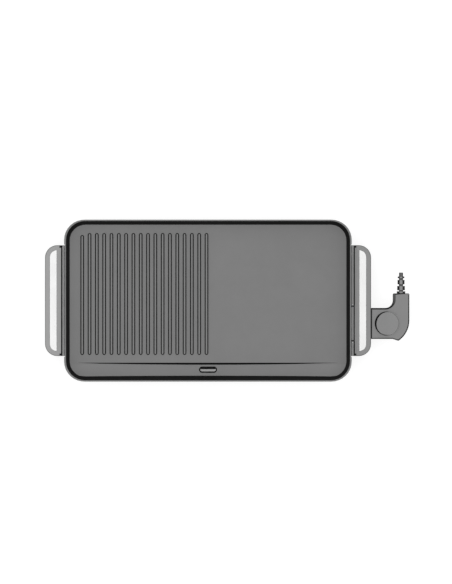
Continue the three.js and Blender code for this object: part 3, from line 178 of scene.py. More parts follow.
def finish_extra(piece, body, material, degrees=SMOOTH_DEGREES):
    """Dresses a small piece that has no node of its own."""
    dress(piece, material, degrees)
    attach(piece, body)


def copy_of(node, name):
    """A copy of a node's mesh with its triangles merged into flat faces."""
    piece = bpy.data.objects.new(name, NODES[node].data.copy())
    bpy.context.scene.collection.objects.link(piece)
    start_editing(piece, "VERT")
    bpy.ops.mesh.select_all(action="SELECT")
    bpy.ops.mesh.remove_doubles(threshold=MERGE_REACH)
    bpy.ops.mesh.dissolve_degenerate(threshold=SLIVER)
    bpy.ops.mesh.select_all(action="SELECT")
    bpy.ops.mesh.dissolve_limited(angle_limit=FLAT_WITHIN)
    bpy.ops.mesh.select_all(action="SELECT")
    bpy.ops.mesh.dissolve_degenerate(threshold=SLIVER)
    stop_editing()
    return piece


def block(name, centre, half_x, half_y, bottom_z, top_z):
    """A block with upright sides round a centre in x and y."""
    bpy.ops.object.select_all(action="DESELECT")
    bpy.ops.mesh.primitive_plane_add(size=2, location=(centre[0], centre[1], bottom_z))
    piece = bpy.context.active_object
    piece.name = name
    piece.scale = (half_x, half_y, 1)
    place_in_mesh(piece)
    start_editing(piece, "FACE")
    bpy.ops.mesh.select_all(action="SELECT")
    bpy.ops.mesh.extrude_region_move(TRANSFORM_OT_translate={"value": (0, 0, top_z - bottom_z)})
    bpy.ops.mesh.select_all(action="SELECT")
    bpy.ops.mesh.normals_make_consistent(inside=False)
    stop_editing()
    return piece


def cut_down(piece, centre, half_x, half_y, top_z, depth):
    """Cuts a slot with upright sides into the piece, down from its top."""
    cutter = block("cutter", centre, half_x, half_y, top_z - depth, top_z + CUTTER_RISE)
    apply_modifier(piece, "BOOLEAN", operation="DIFFERENCE", solver="EXACT", object=cutter)
    bpy.data.objects.remove(cutter)


def set_in(name, centre, half_x, half_y, bottom_z, top_z, rounding, body, material):
    """Sets a small block with rounded top edges into a slot."""
    piece = block(name, centre, half_x, half_y, bottom_z, top_z)
    round_edges(piece, rounding, segments=2, wanted=lambda middle, one, other:
                middle.z > top_z - ON_TOP)
    finish_extra(piece, body, material)


def spun(name, profile, place, turn_to_y=False, steps=56):
    """A turned piece. profile gives (radius, height) all the way round its wall's section."""
    mesh = bpy.data.meshes.new(name)
    piece = bpy.data.objects.new(name, mesh)
    bpy.context.scene.collection.objects.link(piece)
    points = [(radius, 0, height) for radius, height in profile]
    count = len(points)
    mesh.from_pydata(points, [(i, (i + 1) % count) for i in range(count)], [])
    start_editing(piece, "VERT")
    bpy.ops.mesh.select_all(action="SELECT")
    bpy.ops.mesh.spin(steps=steps, angle=2 * math.pi, center=(0, 0, 0), axis=(0, 0, 1))
    bpy.ops.mesh.select_all(action="SELECT")
    bpy.ops.mesh.remove_doubles(threshold=SLIVER)
    bpy.ops.mesh.normals_make_consistent(inside=False)
    stop_editing()
    if turn_to_y:
        piece.rotation_euler = (-math.pi / 2, 0, 0)
    piece.location = place
    place_in_mesh(piece)
    return piece


def share_of(value):
    """Holds a value between 0 and 1."""
    return min(1.0, max(0.0, value))


# Putting shaders together

def add_node(tree, kind, **values):
    node = tree.nodes.new(kind)
    for key, value in values.items():
        if key in node.inputs:
            node.inputs[key].default_value = value
        else:
            setattr(node, key, value)
    return node


def fill(tree, sockets, values):
    """Gives each socket its number or colour, or links it to the socket that it follows."""
    for socket, value in zip(sockets, values):
        if value is None:
            continue
        if isinstance(value, (int, float, tuple)):
            socket.default_value = value
        else:
            tree.links.new(value, socket)


def maths(tree, operation, first, second=None, third=None, clamp=False):
    node = add_node(tree, "ShaderNodeMath", operation=operation, use_clamp=clamp)
    fill(tree, node.inputs, (first, second, third))
    return node.outputs[0]


def vector_maths(tree, operation, first, second=None, output="Vector"):
    node = add_node(tree, "ShaderNodeVectorMath", operation=operation)
    fill(tree, node.inputs, (first, second))
    return node.outputs[output]


def ramp(tree, value, low, high):
    """Goes smoothly from 0 where value is low to 1 where it is high."""
    node = add_node(tree, "ShaderNodeMapRange", interpolation_type="SMOOTHSTEP")
    sockets = [node.inputs[key] for key in ("Value", "From Min", "From Max")]
    fill(tree, sockets, (value, low, high))
    return node.outputs["Result"]


def colour_mix(tree, amount, one, other, blend="MIX"):
    node = add_node(tree, "ShaderNodeMix", data_type="RGBA", blend_type=blend)
    fill(tree, (node.inputs[0], node.inputs[6], node.inputs[7]), (amount, one, other))
    return node.outputs[2]


def texture(tree, kind, place, scale, **values):
    node = add_node(tree, kind, **values)
    fill(tree, (node.inputs["Vector"], node.inputs["Scale"]), (place, scale))
    return node


def seen_rays(tree):
    """1 for rays that show a surface to the camera, straight or by a reflection, else 0."""
    paths = tree.nodes.new("ShaderNodeLightPath").outputs
    seen = maths(tree, "MAXIMUM", paths["Is Camera Ray"], paths["Is Glossy Ray"])
    return maths(tree, "MAXIMUM", seen, paths["Is Transmission Ray"])


# Shared effects

VECTOR, NUMBER = "NodeSocketVector", "NodeSocketFloat"
NOISE, CELLS = "ShaderNodeTexNoise", "ShaderNodeTexVoronoi"


def effect_group(name, inputs, outputs):
    """An empty effect. Returns its tree, what it is given and where its results go."""
    group = bpy.data.node_groups.new(name, "ShaderNodeTree")
    for label, kind, value in inputs:
        socket = group.interface.new_socket(label, in_out="INPUT", socket_type=kind)
        if value is not None:
            socket.default_value = value
    for label in outputs:
        group.interface.new_socket(label, in_out="OUTPUT", socket_type=NUMBER)
    given = group.nodes.new("NodeGroupInput").outputs
    results = group.nodes.new("NodeGroupOutput").inputs
    return group, given, results


def cast_grain_group():
    """Fine pits and speckle of a cast, sprayed or moulded skin."""
    group, given, results = effect_group(
        "Cast grain", [("Vector", VECTOR, None), ("Scale", NUMBER, 900.0)],
        ["Height", "Tone", "Speck"])
    cell_scale, cloud_scale = 0.55, 0.03
    pit_depth = 0.5
    speck_edge, speck_core = 0.22, 0.08
    place, scale = given["Vector"], given["Scale"]
    fine = texture(group, NOISE, place, scale, Detail=4.0, Roughness=0.6)
    cells = texture(group, CELLS, place, maths(group, "MULTIPLY", scale, cell_scale),
                    Randomness=1.0)
    clouds = texture(group, NOISE, place, maths(group, "MULTIPLY", scale, cloud_scale),
                     Detail=3.0, Roughness=0.55)
    reach = cells.outputs["Distance"]
    pits = maths(group, "MULTIPLY", reach, pit_depth)
    height = maths(group, "ADD", fine.outputs["Fac"], pits)
    speck = ramp(group, reach, speck_edge, speck_core)
    fill(group, results, (height, clouds.outputs["Fac"], speck))
    return group


def edge_wear_group():
    """A mask of the outer edges, broken up as handling wears them."""
    group, given, results = effect_group(
        "Edge wear",
        [("Vector", VECTOR, None), ("Breakup", NUMBER, 180.0), ("Amount", NUMBER, 0.6)],
        ["Mask"])
    unturned, fully_turned = 0.995, 0.86
    patch_edge, patch_core = 0.42, 0.68
    normal = group.nodes.new("ShaderNodeNewGeometry").outputs["Normal"]
    worn = add_node(group, "ShaderNodeBevel", Radius=0.8 * MM, samples=4)
    likeness = vector_maths(group, "DOT_PRODUCT", normal, worn.outputs["Normal"], "Value")
    turned = ramp(group, likeness, unturned, fully_turned)
    patches = texture(group, NOISE, given["Vector"], given["Breakup"], Detail=5.0, Roughness=0.65)
    broken = ramp(group, patches.outputs["Fac"], patch_edge, patch_core)
    strength = maths(group, "MULTIPLY", broken, given["Amount"])
    fill(group, results, [maths(group, "MULTIPLY", turned, strength, clamp=True)])
    return group


def steep_side_group():
    """A mask of steep faces, in the piece's own frame, for shade painted on steep sides.

    It sets in where a face's normal rises less than Start and is whole at Full.
    """
    group, given, results = effect_group(
        "Painted steep shade", [("Start", NUMBER, 0.8), ("Full", NUMBER, 0.5)], ["Mask"])
    normal = group.nodes.new("ShaderNodeTexCoord").outputs["Normal"]
    parts = group.nodes.new("ShaderNodeSeparateXYZ")
    fill(group, parts.inputs, [normal])
    rise = maths(group, "ABSOLUTE", parts.outputs["Z"])
    fill(group, results, [ramp(group, rise, given["Start"], given["Full"])])
    return group


def wiping_group():
    """Broad, soft changes left by wiping and handling."""
    group, given, results = effect_group(
        "Wiping", [("Vector", VECTOR, None), ("Scale", NUMBER, 14.0)], ["Mask"])
    cloud_edge, cloud_core = 0.35, 0.7
    clouds = texture(group, NOISE, given["Vector"], given["Scale"],
                     Detail=6.0, Roughness=0.6, Distortion=0.4)
    fill(group, results, [ramp(group, clouds.outputs["Fac"], cloud_edge, cloud_core)])
    return group


GRAIN = cast_grain_group()
WEAR = edge_wear_group()
STEEP_SHADE_MASK = steep_side_group()
WIPING = wiping_group()


# Materials

def screen_colour(shade):
    """The scene colour of a grey, or of a red, green and blue, as read on screen (0 to 255)."""
    channels = shade if isinstance(shade, tuple) else (shade, shade, shade)
    shares = [channel / 255 for channel in channels]
    return tuple(share / 12.92 if share <= 0.04045 else ((share + 0.055) / 1.055) ** 2.4
                 for share in shares) + (1,)


class Finish:
    """One material being put together: its tree, its shader and the place on the piece."""

    def __init__(self, name):
        self.material = bpy.data.materials.new(name)
        self.material.use_nodes = True
        self.tree = self.material.node_tree
        self.shader = self.tree.nodes["Principled BSDF"]
        self.place = self.tree.nodes.new("ShaderNodeTexCoord").outputs["Object"]

    def effect(self, group, **values):
        """Puts in a shared effect and returns its results."""
        node = self.tree.nodes.new("ShaderNodeGroup")
        node.node_tree = group
        if "Vector" in node.inputs:
            self.tree.links.new(self.place, node.inputs["Vector"])
        for key, value in values.items():
            node.inputs[key].default_value = value
        return node.outputs

    def stretched(self, scale):
        """The place with its axes scaled, for grain that runs one way."""
        node = add_node(self.tree, "ShaderNodeMapping", Scale=scale)
        self.tree.links.new(self.place, node.inputs["Vector"])
        return node.outputs["Vector"]

    def feed(self, value, socket):
        self.tree.links.new(value, self.shader.inputs[socket])

    def lay_over(self, amount, colour, blend="MIX"):
        """Mixes a colour over the one that the shader has so far."""
        before = self.shader.inputs["Base Color"].links[0].from_socket
        self.feed(colour_mix(self.tree, amount, before, colour, blend), "Base Color")

    def bump(self, height, strength, distance):
        node = add_node(self.tree, "ShaderNodeBump", Strength=strength, Distance=distance)
        self.tree.links.new(height, node.inputs["Height"])
        self.feed(node.outputs["Normal"], "Normal")


def moulded(name, flat, steep, worn, roughness, grain,
            wear=0.4, start=0.85, full=0.45, gloss=0.2):
    """A moulded or sprayed skin: fine grain, wandering tone, worn edges, and painted shade that
    turns steep sides towards the steep colour and takes most of their shine away.
    """
    tone_swing, speck_dip = 0.10, 0.06
    steep_gloss_loss, steep_wear_loss = 0.8, 0.9
    wiped_shine, grain_dullness = 0.08, 0.06
    finish = Finish(name)
    tree = finish.tree
    skin = finish.effect(GRAIN, Scale=grain)
    sides = finish.effect(STEEP_SHADE_MASK, Start=start, Full=full)["Mask"]
    edges = finish.effect(WEAR, Amount=wear)["Mask"]
    wiped = finish.effect(WIPING)["Mask"]
    # Steep sides lose most of their shine, so the painted shade on them stays dark.
    shine = maths(tree, "MULTIPLY_ADD", sides, -steep_gloss_loss * gloss, gloss)
    finish.feed(shine, "Specular IOR Level")
    # Painted shade: steep sides take the steep colour in place of the flat one.
    base = colour_mix(tree, sides, screen_colour(flat), screen_colour(steep))
    tone = maths(tree, "MULTIPLY_ADD", skin["Tone"], tone_swing, 1 - tone_swing / 2)
    speck = maths(tree, "MULTIPLY_ADD", skin["Speck"], -speck_dip, 1.0)
    base = colour_mix(tree, 1.0, base, maths(tree, "MULTIPLY", tone, speck), "MULTIPLY")
    level = maths(tree, "MULTIPLY_ADD", sides, -steep_wear_loss, 1.0)
    rubbed = maths(tree, "MULTIPLY", edges, level)
    finish.feed(colour_mix(tree, rubbed, base, screen_colour(worn)), "Base Color")
    rough = maths(tree, "MULTIPLY_ADD", wiped, -wiped_shine, roughness)
    rough = maths(tree, "MULTIPLY_ADD", skin["Tone"], grain_dullness, rough)
    finish.feed(rough, "Roughness")
    finish.bump(skin["Height"], strength=0.25, distance=0.06 * MM)
    return finish


def metal(name, bright, lined, roughness, along, brushed=0.35, dull=0.08):
    """A metal with fine lines that run along one axis, and dull patches."""
    along_lines, across_lines = 40, 2600
    line_dullness = 0.06
    finish = Finish(name)
    tree = finish.tree
    stretch = tuple(along_lines if axis == along else across_lines for axis in "xyz")
    lines = texture(tree, NOISE, finish.stretched(stretch), 1.0, Detail=3.0, Roughness=0.7)
    lines = lines.outputs["Fac"]
    wiped = finish.effect(WIPING, Scale=30.0)["Mask"]
    amount = maths(tree, "MULTIPLY", lines, brushed, clamp=True)
    base = colour_mix(tree, amount, screen_colour(bright), screen_colour(lined))
    finish.feed(base, "Base Color")
    finish.shader.inputs["Metallic"].default_value = 1.0
    rough = maths(tree, "MULTIPLY_ADD", wiped, dull, roughness)
    rough = maths(tree, "MULTIPLY_ADD", lines, line_dullness, rough)
    finish.feed(rough, "Roughness")
    finish.bump(lines, strength=0.15, distance=0.02 * MM)
    return finish.material


def plate_coat():
    """The plate's coat, with painted shade on its steep walls, and painted light that makes the
    gutter's bed a little paler against the shade between its walls.
    """
    bed_start_y, bed_full_y = -108.5 * MM, -110 * MM
    painted_light_by = 0.075
    finish = moulded("plate_coat", flat=118, steep=20, worn=126, roughness=0.5, grain=1500.0,
                     wear=0.2, start=0.97, full=0.8, gloss=0.18)
    tree = finish.tree
    # Painted light on the gutter's bed.
    along = vector_maths(tree, "DOT_PRODUCT", finish.place, (0, 1, 0), "Value")
    bed = ramp(tree, along, bed_start_y, bed_full_y)
    finish.lay_over(1.0, maths(tree, "MULTIPLY_ADD", bed, painted_light_by, 1.0), "MULTIPLY")
    return finish.material


# The way that the dial's finger scallop faces at rest
DIAL_SCALLOP = math.radians(165)


def dial_plastic():
    """The dial's plastic: painted shade darkens its steep faces on the scallop's side, and round
    the rim it gives way to a painted lit side, where steep faces are painted lighter as a
    highlight.
    """
    steep_start, steep_full = 0.95, 0.6
    painted_shade_way = DIAL_SCALLOP + 0.25
    painted_shade_reach, painted_light_reach = 4 * MM, -9 * MM
    painted_light_share = 0.85
    lit_rim_flat, lit_rim_steep = 134, 178
    finish = moulded("dial_plastic", flat=132, steep=8, worn=134, roughness=0.5, grain=1300.0,
                     wear=0.2, start=steep_start, full=steep_full, gloss=0.12)
    tree = finish.tree
    # Painted light and shade: dark steep faces towards the scallop, light ones on the far side.
    off_middle = vector_maths(tree, "SUBTRACT", finish.place, (DIAL_X, DIAL_Y, 0))
    direction = (math.cos(painted_shade_way), math.sin(painted_shade_way), 0)
    along = vector_maths(tree, "DOT_PRODUCT", off_middle, direction, "Value")
    lit_side = ramp(tree, along, painted_shade_reach, painted_light_reach)
    sides = finish.effect(STEEP_SHADE_MASK, Start=steep_start, Full=steep_full)["Mask"]
    rim = colour_mix(tree, sides, screen_colour(lit_rim_flat), screen_colour(lit_rim_steep))
    finish.lay_over(maths(tree, "MULTIPLY", lit_side, painted_light_share), rim)
    return finish.material


def relief_rubber():
    """Soft rubber with painted shade in the grooves between the rings."""
    ring_radius, groove_radius = 5.0 * MM, 3.6 * MM
    painted_groove_share, painted_groove_shade = 0.75, 84
    finish = moulded("relief_rubber", flat=139, steep=40, worn=124, roughness=0.5, grain=2200.0,
                     wear=0.1, start=0.97, full=0.85)
    tree = finish.tree
    off_axis = vector_maths(tree, "SUBTRACT", finish.place, (RELIEF_X, 0, RELIEF_Z))
    across = vector_maths(tree, "MULTIPLY", off_axis, (1, 0, 1))
    reach = vector_maths(tree, "LENGTH", across, output="Value")
    # Painted shade in the grooves, nearer the axis than the rings.
    groove = ramp(tree, reach, ring_radius, groove_radius)
    finish.lay_over(maths(tree, "MULTIPLY", groove, painted_groove_share), screen_colour(painted_groove_shade))
    return finish.material


# The steep colour of each finish below is painted shade for its steep sides.
PLATE_COAT = plate_coat()
# Lit and shaded copies of one handle plastic: painted light makes the left grip lighter, painted
# shade makes the right one darker.
HANDLE_LIT_LEFT = moulded("handle_plastic_lit_left", flat=155, steep=42, worn=160, roughness=0.5,
                      grain=1200.0, start=0.97, full=0.4).material
HANDLE_SHADED_RIGHT = moulded("handle_plastic_shaded_right", flat=136, steep=38, worn=141, roughness=0.5,
                       grain=1200.0, start=0.97, full=0.4).material
CONTROL = moulded("control_plastic", flat=131, steep=8, worn=134, roughness=0.5,
                  grain=1300.0, wear=0.2, start=0.9, full=0.45, gloss=0.12).material
DIAL_SKIN = dial_plastic()
# The tray is kept this dark as painted shade for the drain hole that looks down into it.
TRAY_SKIN = moulded("tray_enamel", flat=36, steep=24, worn=48, roughness=0.4,
                    grain=1500.0, wear=0.2).material
BASE = moulded("base_plastic", flat=164, steep=40, worn=164, roughness=0.55,
               grain=1100.0, start=0.95, full=0.5).material
DARK = moulded("dark_plastic", flat=52, steep=40, worn=64, roughness=0.55,
               grain=1100.0).material
RUBBER = moulded("rubber", flat=30, steep=26, worn=44, roughness=0.75,
                 grain=2200.0, wear=0.2).material
# A lighter rubber, so the right seam's painted shade is less dark.
SEAM_SHADE_RUBBER = moulded("seam_shade_rubber", flat=66, steep=58, worn=74, roughness=0.75,
                      grain=2200.0, wear=0.2).material
RELIEF = relief_rubber()
CERAMIC = moulded("ceramic", flat=(226, 222, 210), steep=(214, 208, 194), worn=(200, 190, 172),
                  roughness=0.45, grain=900.0).material
# Pale nylon whose paleness is a painted highlight for the pins' glints.
PAINTED_GLINT_NYLON = moulded("painted_glint_nylon", flat=232, steep=222, worn=236, roughness=0.5,
                     grain=900.0, wear=0.1).material
STEEL = metal("steel", bright=186, lined=150, roughness=0.32, along="x")
SHIELD = metal("shield_steel", bright=196, lined=160, roughness=0.36, along="x")
SCREW = metal("screw_steel", bright=176, lined=130, roughness=0.3, along="z")
INLAY = metal("satin_inlay", bright=177, lined=168, roughness=0.45, along="y",
              brushed=0.3, dull=0.02)
# A paler metal laid on the drain's shaded ledge as painted light.
LEDGE_LIGHT_METAL = metal("ledge_light_metal", bright=131, lined=123, roughness=0.5, along="x", dull=0.02)
BRASS = metal("brass", bright=(206, 170, 92), lined=(160, 122, 60), roughness=0.3, along="x")
FINISHES = {
    "plate_coat": PLATE_COAT, "steel": STEEL, "ceramic": CERAMIC, "base_plastic": BASE,
    "shield": SHIELD, "rubber": RUBBER, "screw_steel": SCREW, "handle_plastic": HANDLE_LIT_LEFT,
    "inlay": INLAY, "dark_plastic": DARK, "control_plastic": CONTROL, "brass": BRASS,
}


# Camera, light and floor

CAMERA_PLACE = (-2.05 * MM, 14.8 * MM, 20.0)
SENSOR = 36
# The picture's long side, as measured on a level a little below the rim
VIEW_LENGTH = 1.0004
VIEW_LEVEL = RIM_Z - 8 * MM
LAMP_PLACE = (-0.2, 0.1, 3.2)
LAMP_AIM = Vector((0, 0, 0.05))
SKY_LIGHT = 0.6


def camera_and_light():
    """A camera straight above, one large soft lamp and an even sky."""
    bpy.ops.object.select_all(action="DESELECT")
    bpy.ops.object.camera_add(location=CAMERA_PLACE, rotation=(0, 0, 0))
    camera = bpy.context.active_object
    camera.data.sensor_width = SENSOR
    camera.data.lens = SENSOR * (CAMERA_PLACE[2] - VIEW_LEVEL) / VIEW_LENGTH
    camera.data.clip_start = 0.1
    camera.data.clip_end = 60
    bpy.context.scene.camera = camera
    bpy.ops.object.light_add(type="AREA", location=LAMP_PLACE)
    lamp = bpy.context.active_object
    lamp.data.shape = "DISK"
    lamp.data.size = 3.0
    lamp.data.energy = 52
    aim = LAMP_AIM - lamp.location
    lamp.rotation_euler = aim.to_track_quat("-Z", "Y").to_euler()
    world = bpy.data.worlds.new("studio")
    bpy.context.scene.world = world
    world.use_nodes = True
    tree = world.node_tree
    background = tree.nodes["Background"]
    background.inputs["Color"].default_value = (1, 1, 1, 1)
    strength = maths(tree, "MULTIPLY_ADD", seen_rays(tree), 1 - SKY_LIGHT, SKY_LIGHT)
    tree.links.new(strength, background.inputs["Strength"])
    bpy.context.scene.view_settings.view_transform = "Standard"


def floor():
    """A floor that looks white to the camera and still keeps the object's shadow."""
    bpy.ops.object.select_all(action="DESELECT")
    bpy.ops.mesh.primitive_plane_add(size=50, location=(0, 0, 0))
    ground = bpy.context.active_object
    ground.name = "floor"
    material = bpy.data.materials.new("pale_floor")
    material.use_nodes = True
    tree = material.node_tree
    tree.nodes.remove(tree.nodes["Principled BSDF"])
    plain = add_node(tree, "ShaderNodeBsdfDiffuse", Color=(0.8, 0.8, 0.8, 1))
    faded = add_node(tree, "ShaderNodeBsdfDiffuse", Color=(0.3, 0.3, 0.3, 1))
    glow = add_node(tree, "ShaderNodeEmission", Strength=0.82)
    pale = tree.nodes.new("ShaderNodeAddShader")
    fill(tree, pale.inputs, (faded.outputs[0], glow.outputs[0]))
    mix = tree.nodes.new("ShaderNodeMixShader")
    fill(tree, mix.inputs, (seen_rays(tree), plain.outputs[0], pale.outputs[0]))
    tree.links.new(mix.outputs[0], tree.nodes["Material Output"].inputs["Surface"])
    ground.data.materials.append(material)


# The cooking plate

CORNER_ZONE = 40 * MM
# How much a wall's normal rises at most, and a level face's at least
WALL_RISE, LEVEL_RISE = 0.35, 0.99

# The drain's sloping ledge and its lining
LEDGE_SLOPE = (0.9, 0.995)
LEDGE_DROP = 5 * MM
DRAIN_HALF_X = 20 * MM
DRAIN_FROM_FRONT = 25 * MM
LINING_THICKNESS = 0.35 * MM
LINING_LIFT = 0.02 * MM

# How far the rim's top rolls out at each end, and where along y that sets in and is whole
END_LIP = {-1: 1.5 * MM, 1: 1.2 * MM}
LIP_START, LIP_FULL = 95.4 * MM, 96.8 * MM
LIP_HEIGHT = 5 * MM

# The ribs, counted from the plate's middle to its left end
RIB_COUNT = 18
RIB_PITCH = 12.53 * MM
FIRST_RIB_X = -2.6 * MM
RIB_HEIGHT = 3 * MM
RIBS_FRONT_Y, RIBS_REAR_Y = -94 * MM, 132 * MM
RIB_FOOT = (2.8 * MM, 3.2 * MM)
RIB_CREST = (1.4 * MM, 1.9 * MM)
RIB_SPREAD = 0.16 * MM


def inward(place):
    """The level direction from a place on the rim to the middle of the plate."""
    direction = Vector((PLATE_X - place.x, -place.y, 0))
    if abs(place.y) < PLATE_HALF_Y - CORNER_ZONE:
        direction.y = 0
    if abs(place.x - PLATE_X) < PLATE_HALF_X - CORNER_ZONE:
        direction.x = 0
    return direction.normalized()


def walls_at(corner):
    """The normals of the upright faces that meet in a corner."""
    return [face.normal for face in corner.link_faces if abs(face.normal.z) < WALL_RISE]


def line_drain(plate):
    """A thin lining of paler metal on the drain's ledge, made from the plate's own ledge faces,
    as painted light on the ledge that the drain's walls shade.
    """
    start_editing(plate, "FACE")
    choose_faces(plate, lambda middle, normal:
                 LEDGE_SLOPE[0] < normal.z < LEDGE_SLOPE[1]
                 and middle.z < FLOOR_Z - LEDGE_DROP
                 and abs(middle.x - PLATE_X) < DRAIN_HALF_X
                 and middle.y < -PLATE_HALF_Y + DRAIN_FROM_FRONT)
    bpy.ops.mesh.duplicate()
    bpy.ops.mesh.separate(type="SELECTED")
    stop_editing()
    lining = [piece for piece in bpy.context.selected_objects if piece != plate][0]
    lining.name = "drain_lining"
    lining.data.name = "drain_lining"
    apply_modifier(lining, "SOLIDIFY", thickness=LINING_THICKNESS, offset=1.0)
    for corner in lining.data.vertices:
        corner.co.z += LINING_LIFT
    finish_extra(lining, BODY_OF["cooking_plate"], LEDGE_LIGHT_METAL)


def roll_end_rims(plate):
    """Rolls the top of the rim outwards round the corners, as far as the end strips."""
    growth, held_back = 1.25, 0.1
    start_editing(plate, "FACE")
    bpy.ops.mesh.select_all(action="SELECT")
    bpy.ops.mesh.bisect(plane_co=(0, 0, RIM_Z - LIP_HEIGHT), plane_no=(0, 0, 1))
    for place_y in (-LIP_FULL, -LIP_START, LIP_START, LIP_FULL):
        choose_faces(plate, lambda middle, normal: middle.z > RIM_Z - LIP_HEIGHT)
        bpy.ops.mesh.bisect(plane_co=(0, place_y, 0), plane_no=(0, 1, 0))
    mesh = bmesh.from_edit_mesh(plate.data)
    for corner in mesh.verts:
        if corner.co.z < RIM_Z - ON_TOP:
            continue
        outward = sum(walls_at(corner), Vector())
        if outward.dot(inward(corner.co)) > 0:
            continue
        outward.z = 0
        outward.normalize()
        share = share_of(growth * abs(outward.x) - held_back)
        share *= share_of((abs(corner.co.y) - LIP_START) / (LIP_FULL - LIP_START))
        corner.co += outward * share * END_LIP[1 if corner.co.x > PLATE_X else -1]
    bmesh.update_edit_mesh(plate.data)
    stop_editing()


def shift_wall_edges(mesh):
    """Moves the rim's inner top edge outwards, and the feet of the two long walls inwards."""
    rim_shift = 0.5 * MM
    rear_start_y, rear_growth, rear_shift = 90 * MM, 30 * MM, 0.7 * MM
    gutter_front_y, gutter_drop, gutter_shift = -124 * MM, 0.3 * MM, 0.9 * MM
    for corner in mesh.verts:
        walls = walls_at(corner)
        on_level = any(face.normal.z > LEVEL_RISE for face in corner.link_faces)
        if not (walls and on_level) or sum(walls, Vector()).dot(inward(corner.co)) < 0:
            continue
        place = corner.co
        if place.z > RIM_Z - ON_TOP:
            place.x += math.copysign(rim_shift, place.x - PLATE_X)
        elif abs(place.z - FLOOR_Z) < ON_FLOOR and place.y > rear_start_y:
            place.y -= rear_shift * share_of((place.y - rear_start_y) / rear_growth)
        elif place.z < FLOOR_Z - gutter_drop and place.y < gutter_front_y:
            place.y += gutter_shift


def shift_step_and_ledge(mesh):
    """Moves the foot of the step behind the gutter, and the drain's ledge, to the front."""
    step_rear_y, step_front_y, step_half_x = -106 * MM, -110 * MM, 200 * MM
    step_top, step_foot, step_shift = 0.15 * MM, 6 * MM, 0.6 * MM
    ledge_rear_y, ledge_front_y, ledge_half_x = -121.5 * MM, -123.5 * MM, 16 * MM
    ledge_drop, ledge_reach, ledge_shift = 4.5 * MM, 0.2 * MM, 0.55 * MM
    for corner in mesh.verts:
        off_middle = abs(corner.co.x - PLATE_X)
        y = corner.co.y
        drop = FLOOR_Z - corner.co.z
        if (step_top < drop < step_foot and step_front_y < y < step_rear_y
                and off_middle < step_half_x):
            corner.co.y = y - step_shift
        if (abs(drop - ledge_drop) < ledge_reach and ledge_front_y < y < ledge_rear_y
                and off_middle < ledge_half_x):
            corner.co.y = y - ledge_shift


def spread_ribs(mesh):
    """Widens each rib at its foot and narrows it as much at its crest."""
    for corner in mesh.verts:
        x = corner.co.x - PLATE_X
        rise = corner.co.z - FLOOR_Z
        rib = round((FIRST_RIB_X - x) / RIB_PITCH)
        if not (0 <= rib < RIB_COUNT and RIBS_FRONT_Y < corner.co.y < RIBS_REAR_Y):
            continue
        off_rib = x - (FIRST_RIB_X - rib * RIB_PITCH)
        spread = math.copysign(RIB_SPREAD, off_rib)
        if abs(rise) < ON_FLOOR and RIB_FOOT[0] < abs(off_rib) < RIB_FOOT[1]:
            corner.co.x += spread
        elif abs(rise - RIB_HEIGHT) < ON_FLOOR and RIB_CREST[0] < abs(off_rib) < RIB_CREST[1]:
            corner.co.x -= spread


def cooking_plate():
    """The cast plate with rolled end rims, eased edges and a lined drain."""
    rim_band, floor_band = RIM_Z - 1 * MM, FLOOR_Z + 1 * MM
    least_facing = 0.3
    plate = copy_of("cooking_plate", "plate_coated")
    line_drain(plate)
    roll_end_rims(plate)
    start_editing(plate, "VERT")
    mesh = bmesh.from_edit_mesh(plate.data)
    shift_wall_edges(mesh)
    shift_step_and_ledge(mesh)
    spread_ribs(mesh)
    bmesh.update_edit_mesh(plate.data)
    stop_editing()

    def facing_in(middle, one, other):
        return one.dot(inward(middle)) + other.dot(inward(middle))

    round_edges(plate, width=0.5 * MM, segments=3, wanted=lambda middle, one, other:
                floor_band < middle.z < rim_band)
    round_edges(plate, width=0.2 * MM, segments=2, wanted=lambda middle, one, other:
                middle.z > rim_band and facing_in(middle, one, other) > least_facing)
    round_edges(plate, width=0.5 * MM, segments=3, wanted=lambda middle, one, other:
                middle.z > rim_band and facing_in(middle, one, other) < -least_facing)
    finish_piece(plate, "cooking_plate", PLATE_COAT)


# The handles

# The groove between a grip and its end strip, and the seals at its bottom
SEAM_WIDTH = 2.0 * MM
SEAM_DEPTH = 12 * MM
SEAM_ROUNDING = 2.4 * MM
SEAL_END_GAP = 0.6 * MM
SEAL_BOTTOM = 11.95 * MM

# The pockets at the groove's ends, each with a buffer
POCKET_FROM_STRIP, POCKET_FROM_END = 2.1 * MM, 2.8 * MM
POCKET_HALF_Y = 1.6 * MM
POCKET_DEPTH = 5 * MM
BUFFER_SLIP = 0.1 * MM
BUFFER_BOTTOM, BUFFER_TOP = 4.95 * MM, 3.4 * MM

# The fine line along the right grip
LINE_FROM_STRIP, LINE_FROM_END = 4.1 * MM, 6 * MM
LINE_HALF, LINE_DEPTH = 0.22 * MM, 0.35 * MM

INLAY_WIDER_X, INLAY_WIDER_Y = 0.55 * MM, 0.3 * MM


def widen_inlay(node, grip, inlay):
    """Moves the inlay's sides outwards, and the sides of its recess in the grip with them."""
    low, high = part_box(node)
    middle_x = (low.x + high.x) / 2
    around, under = 0.5 * MM, 0.4 * MM
    for piece in (grip, inlay):
        for corner in piece.data.vertices:
            x, y, z = corner.co
            if (low.x - around < x < high.x + around and abs(y) < high.y + around
                    and z > low.z - under):
                corner.co.x = x + math.copysign(INLAY_WIDER_X, x - middle_x)
                corner.co.y = y + math.copysign(INLAY_WIDER_Y, y)


